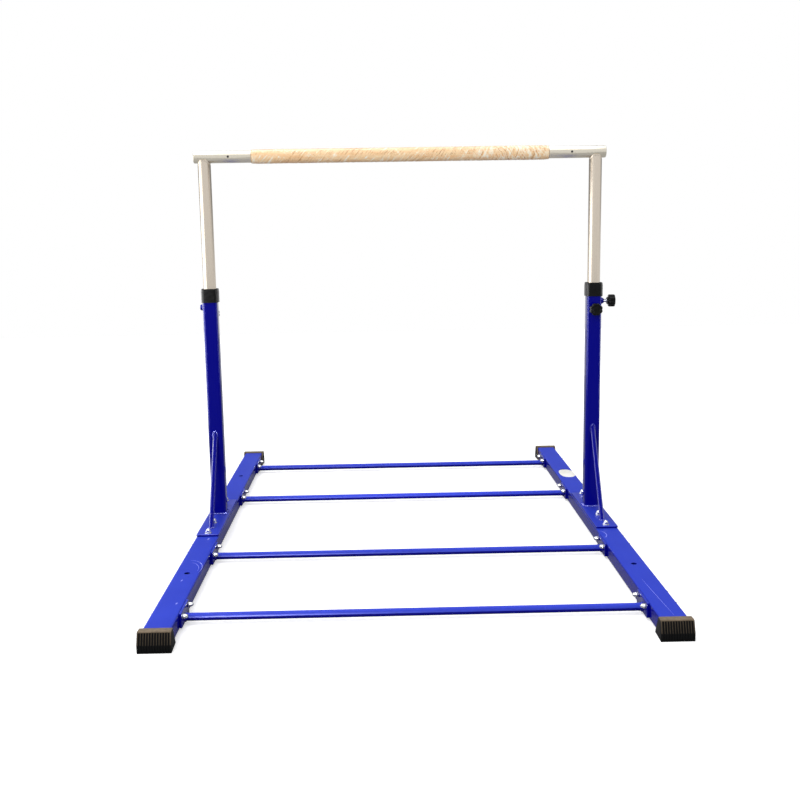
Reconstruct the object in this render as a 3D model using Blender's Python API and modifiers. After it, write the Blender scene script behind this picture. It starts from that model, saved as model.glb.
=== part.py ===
"""A junior gymnastics training bar with telescoping posts on a bolted steel base.

Metres, +Z up. X runs along the bar, Y along the base beams, away from the user.
Sizes are worked out in the stand's own frame, whose X = 0 is midway between the posts
and whose Y = 0 is the posts' plane. An empty carries that frame, so that the origin of
the whole part lies at the middle of the floor area that it covers.
"""

import math

import bmesh
import bpy
from mathutils import Matrix, Vector

# The bar and its height
BAR_OVERHANG = 0.030
BAR_AXIS_HEIGHT = 1.130
END_TUBE_DIAMETER = 0.035
END_TUBE_WALL = 0.003
CORE_WALL = 0.0025
GRIP_SETBACK = 0.140
GRIP_DIAMETER = 0.0395
FILM_THICKNESS = 0.0004
FILM_INSET = 0.002
PLUG_THICKNESS = 0.003
PLUG_EDGE = 0.0009
PLUG_FACE_SHARE = 0.82
PLUG_DEPTH = 0.018
SET_SCREW_INSET = 0.103
SET_SCREW_DIAMETER = 0.006
SET_SCREW_LENGTH = 0.0025
BAR_BOLT_DIAMETER = 0.008
BAR_BOLT_HEAD_DIAMETER = 0.014
BAR_BOLT_LENGTH = 0.055

# The risers that slide in the posts
POST_SPACING = 1.160
RISER_DIAMETER = 0.038
RISER_WALL = 0.002
SADDLE_BAND = 0.0046
SADDLE_RISE = 0.008
SADDLE_PLUG_DEPTH = 0.026
TRAVEL_DOWN = 0.200
TRAVEL_UP = 0.350
HOLE_PITCH = 0.050
HEIGHT_HOLE_DIAMETER = 0.012
RISER_FLOOR_ROOM = 0.018
BUSH_LENGTH = 0.028
BUSH_FLANGE = 0.003
BUSH_WALL = 0.003

# The posts
COLLAR_TOP_HEIGHT = 0.744
COLLAR_HEIGHT = 0.041
COLLAR_WALL = 0.0027
COLLAR_ROOF = 0.004
UPRIGHT_WIDTH = 0.044
UPRIGHT_WALL = 0.002
UPRIGHT_CORNER = 0.006
BRACE_DIAMETER = 0.014
BRACE_RISE = 0.246
PLATE_FRONT_REACH = 0.245
PLATE_REAR_REACH = 0.150
BASE_PLATE_THICKNESS = 0.005
BASE_PLATE_CORNER = 0.006
PLATE_BOLT_EDGE = 0.018
FRONT_BOLT_SPACING = 0.106
FRONT_BRACE_INSET = 0.053
REAR_BRACE_INSET = 0.042

# The screws and their knobs
SCREW_DIAMETER = 0.010
BOSS_DIAMETER = 0.020
BOSS_NOSE_DIAMETER = 0.015
BOSS_STEP_SHARE = 0.3
LOCATING_BOSS_LENGTH = 0.0085
CLAMP_BOSS_LENGTH = 0.0065
LOCATING_SCREW_DROP = 0.056
CLAMP_SCREW_DROP = 0.079
LOCATING_TRAVEL = 0.0095
CLAMP_TIGHTEN_TRAVEL = 0.0005
SCREW_RUN_GAP = 0.0004
SCREW_TIP_GAP = 0.0006
KNOB_DIAMETER = 0.038
KNOB_THICKNESS = 0.024
KNOB_HUB_DIAMETER = 0.022
KNOB_HUB_LENGTH = 0.005
KNOB_LOBES = 8
KNOB_LOBE_POINTS = 4
KNOB_FLUTE_DEPTH = 0.0022
KNOB_EDGE = 0.0022
KNOB_BORE_DEPTH = 0.014
KNOB_EDGE_ANGLE = 50

# The base
BASE_LENGTH = 1.880
POST_SETBACK = 0.035
BEAM_WIDTH = 0.065
BEAM_HEIGHT = 0.040
BEAM_WALL = 0.002
BEAM_CORNER = 0.005
BEAM_HOLE_DIAMETER = 0.015
BEAM_HOLE_INSET = 0.410
INNER_CROSSBAR_OFFSET = 0.307
OUTER_CROSSBAR_INSET = 0.175
CROSSBAR_DIAMETER = 0.019
CROSSBAR_WALL = 0.0015
CROSSBAR_HEIGHT = 0.0168
FLANGE_THICKNESS = 0.005
FLANGE_HEIGHT = 0.037
FLANGE_TOP_DROP = 0.001
FLANGE_BOLT_SPACING = 0.076
FLANGE_BOLT_EDGE = 0.011
FLANGE_BOLT_DROP = 0.011
FLANGE_CORNER = 0.004

# The rubber end caps
CAP_FLOOR = 0.004
CAP_WALL = 0.0035
CAP_NOSE = 0.012
CAP_KNEE_HEIGHT = 0.019
CAP_SLOPE = 0.010
CAP_TOP_DEPTH = 0.031
CAP_FOOT_DEPTH = 0.060
CAP_FLARE = 0.0025
CAP_FILLET = 0.003
CAP_RIBS = 11
CAP_GROOVE_WIDTH = 0.0032
CAP_GROOVE_DEPTH = 0.0016
CAP_GROOVE_TOP_LAND = 0.003

# Fasteners
BOLT_DIAMETER = 0.008
BOLT_HOLE_DIAMETER = 0.010
BOLT_HEAD_DIAMETER = 0.016
BOLT_HEAD_HEIGHT = 0.0025
BOLT_HEAD_TAPER = 0.8
NUT_ACROSS_FLATS = 0.013
NUT_HEX_HEIGHT = 0.0065
NUT_DOME_HEIGHT = 0.007
NUT_DOME_SHARE = 0.92
NUT_CROWN_SHARE = 0.55
NUT_CROWN_RISE = 0.0006
NUT_SEAT_SINK = 0.0005

# The gap between pieces that touch, and how finely round pieces are divided
GAP = 0.0003
TUBE_SIDES = 20
THIN_TUBE_SIDES = 12
GRIP_SIDES = 32
CORE_SIDES = 16
SCREW_SIDES = 12
FASTENER_SIDES = 8
HEIGHT_HOLE_SIDES = 8
BOLT_HOLE_SIDES = 6
CORNER_STEPS = 3
SEAM_MERGE = 0.00001
POINT_MERGE = 0.000001
OVERRUN = 0.002

# What follows from the sizes above
BEAM_BOTTOM = CAP_FLOOR + GAP
BEAM_TOP = BEAM_BOTTOM + BEAM_HEIGHT
PLATE_BOTTOM = BEAM_TOP + GAP
PLATE_TOP = PLATE_BOTTOM + BASE_PLATE_THICKNESS
UPRIGHT_BOTTOM = PLATE_TOP + GAP
UPRIGHT_TOP = COLLAR_TOP_HEIGHT - COLLAR_ROOF - GAP
UPRIGHT_BORE = UPRIGHT_WIDTH - 2 * UPRIGHT_WALL
LOCATING_SCREW_HEIGHT = COLLAR_TOP_HEIGHT - LOCATING_SCREW_DROP
CLAMP_SCREW_HEIGHT = COLLAR_TOP_HEIGHT - CLAMP_SCREW_DROP
CAP_WIDTH = BEAM_WIDTH + 2 * (CAP_WALL + GAP)
CAP_HEIGHT = BEAM_TOP + GAP + CAP_WALL
BEAM_LENGTH = BASE_LENGTH - 2 * (CAP_NOSE + GAP)
BEAM_HOLE_OFFSET = BASE_LENGTH / 2 - BEAM_HOLE_INSET
OUTER_CROSSBAR_OFFSET = BASE_LENGTH / 2 - OUTER_CROSSBAR_INSET
FRONT_OUTER_BOLT_Y = PLATE_BOLT_EDGE - PLATE_FRONT_REACH
REAR_BOLT_Y = PLATE_REAR_REACH - PLATE_BOLT_EDGE
POST_X = POST_SPACING / 2
BEAM_INNER_X = POST_X - BEAM_WIDTH / 2
FLANGE_INNER_X = BEAM_INNER_X - GAP - FLANGE_THICKNESS
CORE_DIAMETER = END_TUBE_DIAMETER - 2 * (END_TUBE_WALL + GAP)
BAR_LENGTH = POST_SPACING + 2 * BAR_OVERHANG
GRIP_LENGTH = POST_SPACING - 2 * GRIP_SETBACK
END_TUBE_LENGTH = (BAR_LENGTH - GRIP_LENGTH) / 2 - GAP - PLUG_THICKNESS
RISER_BOTTOM = PLATE_TOP + RISER_FLOOR_ROOM + TRAVEL_DOWN
RISER_BORE = RISER_DIAMETER - 2 * RISER_WALL
KNOB_REACH = UPRIGHT_WIDTH / 2 + GAP + LOCATING_BOSS_LENGTH + GAP + LOCATING_TRAVEL
WIDEST_RIGHT = POST_X + KNOB_REACH + KNOB_THICKNESS
WIDEST_LEFT = POST_X + CAP_WIDTH / 2 + CAP_FLARE
BASE_MIDDLE_Y = -POST_SETBACK
STAND_SHIFT = Vector(((WIDEST_LEFT - WIDEST_RIGHT) / 2, POST_SETBACK, 0))

# Matrices that turn a shape drawn about Z so that it runs along another axis
ALONG_Z = Matrix.Identity(4)
ALONG_Y = Matrix(((1, 0, 0, 0), (0, 0, -1, 0), (0, 1, 0, 0), (0, 0, 0, 1)))
ALONG_X = Matrix(((0, 0, 1, 0), (1, 0, 0, 0), (0, 1, 0, 0), (0, 0, 0, 1)))


def clear_scene():
    """Removes every object of the scene that the script starts in."""
    for obj in list(bpy.data.objects):
        bpy.data.objects.remove(obj, do_unlink=True)


def make_collection(name, hidden=False):
    """Returns a new collection in the scene, left out of renders if hidden."""
    collection = bpy.data.collections.new(name)
    collection.hide_render = hidden
    bpy.context.scene.collection.children.link(collection)
    return collection


def make_material(name, colour, roughness, metallic=0.0):
    """Returns a Principled material of one colour."""
    material = bpy.data.materials.new(name)
    material.use_nodes = True
    shader = material.node_tree.nodes["Principled BSDF"]
    shader.inputs["Base Color"].default_value = (*colour, 1.0)
    shader.inputs["Roughness"].default_value = roughness
    shader.inputs["Metallic"].default_value = metallic
    material.diffuse_color = (*colour, 1.0)
    return material


def circle(radius, sides=TUBE_SIDES, centre=(0.0, 0.0)):
    """Returns the corners of a regular polygon, the first on the outline's own X axis."""
    angles = [math.tau * i / sides for i in range(sides)]
    return [(centre[0] + radius * math.cos(a), centre[1] + radius * math.sin(a)) for a in angles]


def filleted(corners, radius, steps=CORNER_STEPS):
    """Returns a polygon's corners with each one rounded to the radius."""
    points = []
    count = len(corners)
    for i, corner in enumerate(corners):
        here = Vector(corner)
        back = (Vector(corners[i - 1]) - here).normalized()
        ahead = (Vector(corners[(i + 1) % count]) - here).normalized()
        half = back.angle(ahead) / 2
        centre = here + (back + ahead).normalized() * radius / math.sin(half)
        start = here + back * radius / math.tan(half) - centre
        finish = here + ahead * radius / math.tan(half) - centre
        for step in range(steps + 1):
            spoke = start.lerp(finish, step / steps).normalized() * radius
            points.append(tuple(centre + spoke))
    return points


def rounded_rectangle(width, height, radius, steps=CORNER_STEPS):
    """Returns the outline of a rectangle with round corners, about the origin."""
    x, y = width / 2, height / 2
    return filleted([(-x, -y), (x, -y), (x, y), (-x, y)], radius, steps)


def evaluated_mesh(obj):
    """Returns a clean mesh of the object as its modifiers leave it, and removes the object."""
    graph = bpy.context.evaluated_depsgraph_get()
    mesh = bpy.data.meshes.new_from_object(obj.evaluated_get(graph))
    mesh.transform(obj.matrix_world)
    bpy.data.objects.remove(obj, do_unlink=True)
    shape = bmesh.new()
    shape.from_mesh(mesh)
    bmesh.ops.remove_doubles(shape, verts=shape.verts, dist=POINT_MERGE)
    bmesh.ops.dissolve_degenerate(shape, edges=shape.edges, dist=POINT_MERGE)
    bmesh.ops.recalc_face_normals(shape, faces=shape.faces)
    shape.to_mesh(mesh)
    shape.free()
    return mesh


def extruded(outlines, depth, turn=ALONG_Z):
    """Returns a mesh of flat outlines given a thickness; inner outlines are holes."""
    curve = bpy.data.curves.new("outline", "CURVE")
    curve.dimensions = "2D"
    curve.fill_mode = "BOTH"
    curve.extrude = depth / 2
    for outline in outlines:
        spline = curve.splines.new("POLY")
        spline.points.add(len(outline) - 1)
        for point, (x, y) in zip(spline.points, outline):
            point.co = (x, y, 0, 1)
        spline.use_cyclic_u = True
    obj = bpy.data.objects.new("outline", curve)
    bpy.context.scene.collection.objects.link(obj)
    mesh = evaluated_mesh(obj)
    bpy.data.curves.remove(curve)
    mesh.transform(turn)
    return mesh


def turned(profile, sides, turn=ALONG_Z):
    """Returns a mesh turned about Z from a profile of (radius, height), top to bottom."""
    outline = bpy.data.meshes.new("profile")
    edges = [(i, i + 1) for i in range(len(profile) - 1)]
    outline.from_pydata([(radius, 0, height) for radius, height in profile], edges, [])
    obj = bpy.data.objects.new("profile", outline)
    bpy.context.scene.collection.objects.link(obj)
    screw = obj.modifiers.new("turn", "SCREW")
    screw.steps = sides
    screw.render_steps = sides
    screw.use_merge_vertices = True
    screw.merge_threshold = SEAM_MERGE
    mesh = evaluated_mesh(obj)
    bpy.data.meshes.remove(outline)
    mesh.transform(turn)
    return mesh


def cylinder(radius, low, high, sides=TUBE_SIDES, turn=ALONG_Z):
    """Returns a cylinder between two heights on its axis."""
    shape = bmesh.new()
    bmesh.ops.create_cone(
        shape,
        cap_ends=True,
        segments=sides,
        radius1=radius,
        radius2=radius,
        depth=high - low,
        matrix=Matrix.Translation((0, 0, (low + high) / 2)),
    )
    # create_cone starts its corners on Y, and circle() on X
    bmesh.ops.rotate(shape, verts=shape.verts, matrix=Matrix.Rotation(-math.pi / 2, 3, "Z"))
    mesh = bpy.data.meshes.new("cylinder")
    shape.to_mesh(mesh)
    shape.free()
    mesh.transform(turn)
    return mesh


def box(low, high):
    """Returns a box between two corners."""
    shape = bmesh.new()
    bmesh.ops.create_cube(shape, size=1)
    low, high = Vector(low), Vector(high)
    size = high - low
    bmesh.ops.transform(
        shape, verts=shape.verts, matrix=Matrix.Translation((low + high) / 2) @ Matrix.Diagonal((*size, 1))
    )
    mesh = bpy.data.meshes.new("box")
    shape.to_mesh(mesh)
    shape.free()
    return mesh


def gathered(*groups):
    """Returns one mesh that holds, for each pair of a mesh and places, a copy at each place."""
    shape = bmesh.new()
    for mesh, places in groups:
        for place in places:
            copy = mesh.copy()
            copy.transform(place)
            shape.from_mesh(copy)
            bpy.data.meshes.remove(copy)
    bmesh.ops.recalc_face_normals(shape, faces=shape.faces)
    result = bpy.data.meshes.new("group")
    shape.to_mesh(result)
    shape.free()
    return result


class Stand:
    """Holds the collections, the frames and the materials, and adds pieces to them."""

    def __init__(self):
        self.pieces = make_collection("gymnastics_training_bar")
        self.cutters = make_collection("cutters", hidden=True)
        self.frame = self.add_empty("stand_frame", STAND_SHIFT, None)
        self.carriage = self.add_empty("height_carriage", (0, 0, BAR_AXIS_HEIGHT), self.frame)
        self.enamel = make_material("blue_enamel", (0.02, 0.03, 0.48), 0.25)
        self.steel = make_material("bright_steel", (0.72, 0.70, 0.66), 0.25, 1.0)
        self.zinc = make_material("zinc_plate", (0.75, 0.76, 0.78), 0.3, 1.0)
        self.rubber = make_material("black_rubber", (0.015, 0.015, 0.016), 0.7)
        self.plastic = make_material("black_plastic", (0.02, 0.02, 0.02), 0.45)
        self.nylon = make_material("white_nylon", (0.7, 0.7, 0.68), 0.5)
        self.beech = make_material("beech", (0.72, 0.5, 0.3), 0.5)
        self.film = make_material("clear_film", (0.85, 0.7, 0.52), 0.15)

    def add_empty(self, name, location, parent):
        """Adds an empty that carries pieces."""
        empty = bpy.data.objects.new(name, None)
        empty.location = location
        empty.parent = parent
        self.pieces.objects.link(empty)
        return empty

    def add(self, name, mesh, material, location=(0, 0, 0), parent=None):
        """Adds a piece, shaded smooth except at its sharp edges."""
        mesh.name = name
        mesh.materials.clear()
        mesh.materials.append(material)
        mesh.shade_smooth()
        mesh.set_sharp_from_angle(angle=math.radians(35))
        piece = bpy.data.objects.new(name, mesh)
        piece.location = location
        piece.parent = parent or self.frame
        self.pieces.objects.link(piece)
        return piece

    def cut(self, piece, mesh, operation="DIFFERENCE", location=None, name="cutter"):
        """Cuts or joins a mesh drawn in the piece's own frame, or at another location."""
        tool = bpy.data.objects.new(f"{piece.name}_{name}", mesh)
        tool.location = piece.location if location is None else location
        tool.parent = piece.parent
        tool.hide_render = True
        tool.display_type = "WIRE"
        self.cutters.objects.link(tool)
        modifier = piece.modifiers.new(name, "BOOLEAN")
        modifier.operation = operation
        modifier.solver = "EXACT"
        modifier.object = tool
        return piece


def soften(piece, width, segments=1, angle=60):
    """Bevels the edges of a piece that are sharper than the angle."""
    bevel = piece.modifiers.new("edges", "BEVEL")
    bevel.width = width
    bevel.segments = segments
    bevel.limit_method = "ANGLE"
    bevel.angle_limit = math.radians(angle)
    bevel.harden_normals = False
    return piece


def fastener_mesh(grip, sink=0.0):
    """Returns a bolt with its dome nut as one solid, its head's seat at Z = 0.

    grip is the length between the head and the nut, and sink how far the nut is let
    into what it stands on, where it is joined to it.
    """
    shank, head = BOLT_DIAMETER / 2, BOLT_HEAD_DIAMETER / 2
    dome = NUT_ACROSS_FLATS / 2 * NUT_DOME_SHARE
    top = grip + NUT_HEX_HEIGHT + NUT_DOME_HEIGHT
    profile = [
        (0, top + NUT_CROWN_RISE),
        (dome * NUT_CROWN_SHARE, top),
        (dome, top - NUT_DOME_HEIGHT / 2),
        (dome, grip + NUT_HEX_HEIGHT / 2),
        (shank, grip + NUT_HEX_HEIGHT / 2),
        (shank, 0),
        (head, 0),
        (head * BOLT_HEAD_TAPER, -BOLT_HEAD_HEIGHT),
        (0, -BOLT_HEAD_HEIGHT),
    ]
    bolt = bpy.data.objects.new("bolt", turned(profile, FASTENER_SIDES))
    corner = NUT_ACROSS_FLATS / math.sqrt(3)
    nut = bpy.data.objects.new("nut", cylinder(corner, grip - sink, grip + NUT_HEX_HEIGHT, 6))
    for obj in (bolt, nut):
        bpy.context.scene.collection.objects.link(obj)
    union = bolt.modifiers.new("nut", "BOOLEAN")
    union.operation = "UNION"
    union.object = nut
    mesh = evaluated_mesh(bolt)
    bpy.data.objects.remove(nut, do_unlink=True)
    return mesh


def make_end_cap(stand, side, end):
    """Adds a rubber end cap: a ribbed, sloping nose and a sleeve over the beam's end."""
    x = POST_X * side[1]
    slope_z = CAP_HEIGHT
    corners = [
        (0, 0),
        (CAP_FOOT_DEPTH, 0),
        (CAP_TOP_DEPTH, slope_z),
        (CAP_SLOPE, slope_z),
        (0, CAP_KNEE_HEIGHT),
    ]
    mesh = extruded([filleted(corners, CAP_FILLET, 1)], CAP_WIDTH, ALONG_X)
    widest = CAP_WIDTH / 2
    for vertex in mesh.vertices:
        nearness = 1 - vertex.co.y / CAP_FOOT_DEPTH
        vertex.co.x *= 1 + nearness * CAP_FLARE / widest
    front_y = BASE_MIDDLE_Y + end[1] * BASE_LENGTH / 2
    if end[1] > 0:
        mesh.transform(Matrix.Rotation(math.pi, 4, "Z"))
    cap = stand.add(f"{side[0]}_{end[0]}_end_cap", mesh, stand.rubber, (x, front_y, 0))
    soften(cap, CAP_FILLET / 2)
    inward = -end[1]
    sleeve_x = BEAM_WIDTH / 2 + GAP
    ends = sorted((inward * CAP_NOSE, inward * (CAP_FOOT_DEPTH + OVERRUN)))
    cavity = box((-sleeve_x, ends[0], BEAM_BOTTOM - GAP), (sleeve_x, ends[1], BEAM_TOP + GAP))
    stand.cut(cap, cavity, name="sleeve")
    groove_top = CAP_HEIGHT - CAP_GROOVE_TOP_LAND
    lean = CAP_SLOPE / (slope_z - CAP_KNEE_HEIGHT)
    outline = [
        (-OVERRUN, -OVERRUN),
        (CAP_GROOVE_DEPTH, -OVERRUN),
        (CAP_GROOVE_DEPTH, CAP_KNEE_HEIGHT),
        (CAP_GROOVE_DEPTH + lean * (groove_top - CAP_KNEE_HEIGHT), groove_top),
        (-OVERRUN, groove_top),
    ]
    groove = extruded([outline], CAP_GROOVE_WIDTH, ALONG_X)
    if end[1] > 0:
        groove.transform(Matrix.Rotation(math.pi, 4, "Z"))
    pitch = CAP_WIDTH / CAP_RIBS
    places = [Matrix.Translation(((i - CAP_RIBS / 2) * pitch, 0, 0)) for i in range(1, CAP_RIBS)]
    stand.cut(cap, gathered((groove, places)), name="grooves")


def crossbar_offsets():
    """Returns the crossbars' names and their distances from the middle of the base."""
    return (
        ("front_outer", -OUTER_CROSSBAR_OFFSET),
        ("front_inner", -INNER_CROSSBAR_OFFSET),
        ("rear_inner", INNER_CROSSBAR_OFFSET),
        ("rear_outer", OUTER_CROSSBAR_OFFSET),
    )


def flange_bolt_places():
    """Returns the Y of each crossbar bolt, in the stand's frame."""
    half = FLANGE_BOLT_SPACING / 2
    return [BASE_MIDDLE_Y + offset + way * half for _, offset in crossbar_offsets() for way in (-1, 1)]


def plate_bolt_places():
    """Returns the Y of each base plate bolt, in the stand's frame."""
    return (FRONT_OUTER_BOLT_Y, FRONT_OUTER_BOLT_Y + FRONT_BOLT_SPACING, REAR_BOLT_Y)


def make_beam(stand, side):
    """Adds a base beam: a rectangular tube with its bolt holes and two round holes on top."""
    outer = rounded_rectangle(BEAM_WIDTH, BEAM_HEIGHT, BEAM_CORNER, 2)
    inner = rounded_rectangle(
        BEAM_WIDTH - 2 * BEAM_WALL, BEAM_HEIGHT - 2 * BEAM_WALL, BEAM_CORNER - BEAM_WALL, 2
    )
    middle_z = (BEAM_BOTTOM + BEAM_TOP) / 2
    mesh = extruded([outer, inner], BEAM_LENGTH, ALONG_Y)
    beam = stand.add(f"{side[0]}_base_beam", mesh, stand.enamel, (side[1] * POST_X, BASE_MIDDLE_Y, middle_z))
    bolt_hole = BOLT_HOLE_DIAMETER / 2
    half_width = BEAM_WIDTH / 2 + OVERRUN
    half_height = BEAM_HEIGHT / 2 + OVERRUN
    across = cylinder(bolt_hole, -half_width, half_width, BOLT_HOLE_SIDES, ALONG_X)
    bolt_z = BEAM_TOP - FLANGE_BOLT_DROP - middle_z
    across_places = [Matrix.Translation((0, y - BASE_MIDDLE_Y, bolt_z)) for y in flange_bolt_places()]
    down = cylinder(bolt_hole, -half_height, half_height, BOLT_HOLE_SIDES)
    down_places = [Matrix.Translation((0, y - BASE_MIDDLE_Y, 0)) for y in plate_bolt_places()]
    top = cylinder(BEAM_HOLE_DIAMETER / 2, 0, half_height, SCREW_SIDES)
    top_places = [Matrix.Translation((0, way * BEAM_HOLE_OFFSET, 0)) for _, way in ENDS]
    holes = gathered((across, across_places), (down, down_places), (top, top_places))
    stand.cut(beam, holes, name="holes")


def make_crossbar(stand, name, offset):
    """Adds a crossbar: a thin tube welded to a flange at each end, with its four bolts.

    Each bolt and its dome nut are one solid with the flange that they clamp. The bolt
    passes through the beam with a gap all round, and its head lies outside the beam.
    """
    radius = CROSSBAR_DIAMETER / 2
    length = 2 * (FLANGE_INNER_X + FLANGE_THICKNESS / 2)
    sides = THIN_TUBE_SIDES
    tube = extruded([circle(radius, sides), circle(radius - CROSSBAR_WALL, sides)], length, ALONG_X)
    y = BASE_MIDDLE_Y + offset
    crossbar = stand.add(f"{name}_crossbar", tube, stand.enamel, (0, y, CROSSBAR_HEIGHT))
    flange_length = FLANGE_BOLT_SPACING + 2 * FLANGE_BOLT_EDGE
    middle = BEAM_TOP - FLANGE_TOP_DROP - FLANGE_HEIGHT / 2 - CROSSBAR_HEIGHT
    outline = [(y, z + middle) for y, z in rounded_rectangle(flange_length, FLANGE_HEIGHT, FLANGE_CORNER, 1)]
    bore = circle(radius - CROSSBAR_WALL / 2, sides)
    flange = extruded([outline, bore], FLANGE_THICKNESS, ALONG_X)
    x = FLANGE_INNER_X + FLANGE_THICKNESS / 2
    flanges = gathered((flange, [Matrix.Translation((way * x, 0, 0)) for _, way in SIDES]))
    stand.cut(crossbar, flanges, "UNION", name="flanges")
    head_x = POST_X + BEAM_WIDTH / 2 + GAP
    bolt_z = BEAM_TOP - FLANGE_BOLT_DROP - CROSSBAR_HEIGHT
    bolt = fastener_mesh(head_x - FLANGE_INNER_X, NUT_SEAT_SINK)
    places = [
        Matrix.Translation((way * head_x, end * FLANGE_BOLT_SPACING / 2, bolt_z))
        @ Matrix.Rotation(-way * math.pi / 2, 4, "Y")
        for _, way in SIDES
        for _, end in ENDS
    ]
    stand.cut(crossbar, gathered((bolt, places)), "UNION", name="bolts")


def make_plate_bolts(stand, side):
    """Adds the three bolts, each with its dome nut, that hold a base plate on its beam."""
    head_z = BEAM_BOTTOM - GAP
    bolt = fastener_mesh(PLATE_TOP + GAP - head_z)
    for i, y in enumerate(plate_bolt_places()):
        place = (side[1] * POST_X, y, head_z)
        stand.add(f"{side[0]}_plate_bolt_{i + 1}", bolt.copy(), stand.zinc, place)


def make_post(stand, side):
    """Adds a post: base plate, square upright, two braces, two bosses and a collar."""
    name, way = side
    x = way * POST_X
    plate_middle = (PLATE_REAR_REACH - PLATE_FRONT_REACH) / 2
    plate_length = PLATE_REAR_REACH + PLATE_FRONT_REACH
    outline = rounded_rectangle(BEAM_WIDTH, plate_length, BASE_PLATE_CORNER, 1)
    bolts = [y - plate_middle for y in plate_bolt_places()]
    holes = [circle(BOLT_HOLE_DIAMETER / 2, BOLT_HOLE_SIDES, (0, y)) for y in bolts]
    plate = extruded([outline, *holes], BASE_PLATE_THICKNESS)
    place = (x, plate_middle, (PLATE_BOTTOM + PLATE_TOP) / 2)
    stand.add(f"{name}_base_plate", plate, stand.enamel, place)

    outer = rounded_rectangle(UPRIGHT_WIDTH, UPRIGHT_WIDTH, UPRIGHT_CORNER)
    inner = rounded_rectangle(UPRIGHT_BORE, UPRIGHT_BORE, UPRIGHT_CORNER - UPRIGHT_WALL)
    tube = extruded([outer, inner], UPRIGHT_TOP - UPRIGHT_BOTTOM)
    middle = (UPRIGHT_BOTTOM + UPRIGHT_TOP) / 2
    upright = stand.add(f"{name}_upright", tube, stand.enamel, (x, 0, middle))
    screw_hole = SCREW_DIAMETER / 2 + SCREW_RUN_GAP
    reach = UPRIGHT_WIDTH / 2 + OVERRUN
    for label, direction, z in screw_places(side):
        turn = direction.to_track_quat("Z", "Y").to_matrix().to_4x4()
        hole = cylinder(screw_hole, UPRIGHT_BORE / 4, reach, SCREW_SIDES, turn)
        stand.cut(upright, hole, location=(x, 0, z), name=f"{label}_hole")

    make_brace(stand, f"{name}_front_brace", x, FRONT_OUTER_BOLT_Y + FRONT_BRACE_INSET)
    make_brace(stand, f"{name}_rear_brace", x, REAR_BOLT_Y - REAR_BRACE_INSET)

    for label, direction, z in screw_places(side):
        length = LOCATING_BOSS_LENGTH if label == "locating" else CLAMP_BOSS_LENGTH
        bore = SCREW_DIAMETER / 2 + SCREW_RUN_GAP
        profile = [
            (bore, length),
            (BOSS_NOSE_DIAMETER / 2, length),
            (BOSS_DIAMETER / 2, length * BOSS_STEP_SHARE),
            (BOSS_DIAMETER / 2, 0),
            (bore, 0),
            (bore, length),
        ]
        turn = direction.to_track_quat("Z", "Y").to_matrix().to_4x4()
        seat = Vector((x, 0, z)) + direction * (UPRIGHT_WIDTH / 2 + GAP)
        stand.add(f"{name}_{label}_boss", turned(profile, SCREW_SIDES, turn), stand.enamel, seat)

    make_collar(stand, name, x)


def make_brace(stand, name, x, foot_y):
    """Adds a round brace from the base plate to the upright, its ends cut flush to both."""
    y_way = math.copysign(1, foot_y)
    foot = Vector((0, foot_y, 0))
    top = Vector((0, y_way * UPRIGHT_WIDTH / 2, BRACE_RISE))
    direction = (top - foot).normalized()
    spare = BRACE_DIAMETER * 2
    turn = direction.to_track_quat("Z", "X").to_matrix().to_4x4()
    length = (top - foot).length
    rod = cylinder(BRACE_DIAMETER / 2, -spare, length + spare, THIN_TUBE_SIDES, turn)
    rod.transform(Matrix.Translation(foot))
    brace = stand.add(name, rod, stand.enamel, (x, 0, PLATE_TOP))
    wide = BRACE_DIAMETER
    far = abs(foot_y) + UPRIGHT_WIDTH + spare
    floor = box((-wide, -far, -3 * spare), (wide, far, GAP))
    stand.cut(brace, floor, name="plate_side")
    face = UPRIGHT_WIDTH / 2 + GAP
    near, beyond = sorted((y_way * face, -y_way * far))
    post = box((-wide, near, -3 * spare), (wide, beyond, BRACE_RISE + 3 * spare))
    stand.cut(brace, post, name="upright_side")


def screw_places(side):
    """Returns the name, direction and height of a post's two screw bosses.

    The left upright is the right one turned half round: its locating boss still
    points outwards, and its clamp boss points to the rear.
    """
    way = side[1]
    return (
        ("locating", Vector((way, 0, 0)), LOCATING_SCREW_HEIGHT),
        ("clamp", Vector((0, -way, 0)), CLAMP_SCREW_HEIGHT),
    )


def make_collar(stand, name, x):
    """Adds the collar over a post's top, with a round hole that guides the riser."""
    outside = UPRIGHT_WIDTH + 2 * (GAP + COLLAR_WALL)
    corner = UPRIGHT_CORNER + GAP + COLLAR_WALL
    body = extruded([rounded_rectangle(outside, outside, corner)], COLLAR_HEIGHT)
    middle = COLLAR_TOP_HEIGHT - COLLAR_HEIGHT / 2
    collar = stand.add(f"{name}_collar", body, stand.plastic, (x, 0, middle))
    soften(collar, COLLAR_WALL / 3)
    skirt = UPRIGHT_WIDTH + 2 * GAP
    half = COLLAR_HEIGHT / 2
    pocket = extruded([rounded_rectangle(skirt, skirt, UPRIGHT_CORNER + GAP)], COLLAR_HEIGHT)
    pocket.transform(Matrix.Translation((0, 0, -COLLAR_ROOF)))
    stand.cut(collar, pocket, name="pocket")
    hole = cylinder(RISER_DIAMETER / 2 + GAP, 0, half + OVERRUN)
    stand.cut(collar, hole, name="riser_hole")


def height_hole_places():
    """Returns the height of each hole in a riser, at rest, one for each bar height."""
    below = round(TRAVEL_UP / HOLE_PITCH)
    above = round(TRAVEL_DOWN / HOLE_PITCH)
    return [LOCATING_SCREW_HEIGHT + step * HOLE_PITCH for step in range(-below, above + 1)]


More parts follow.
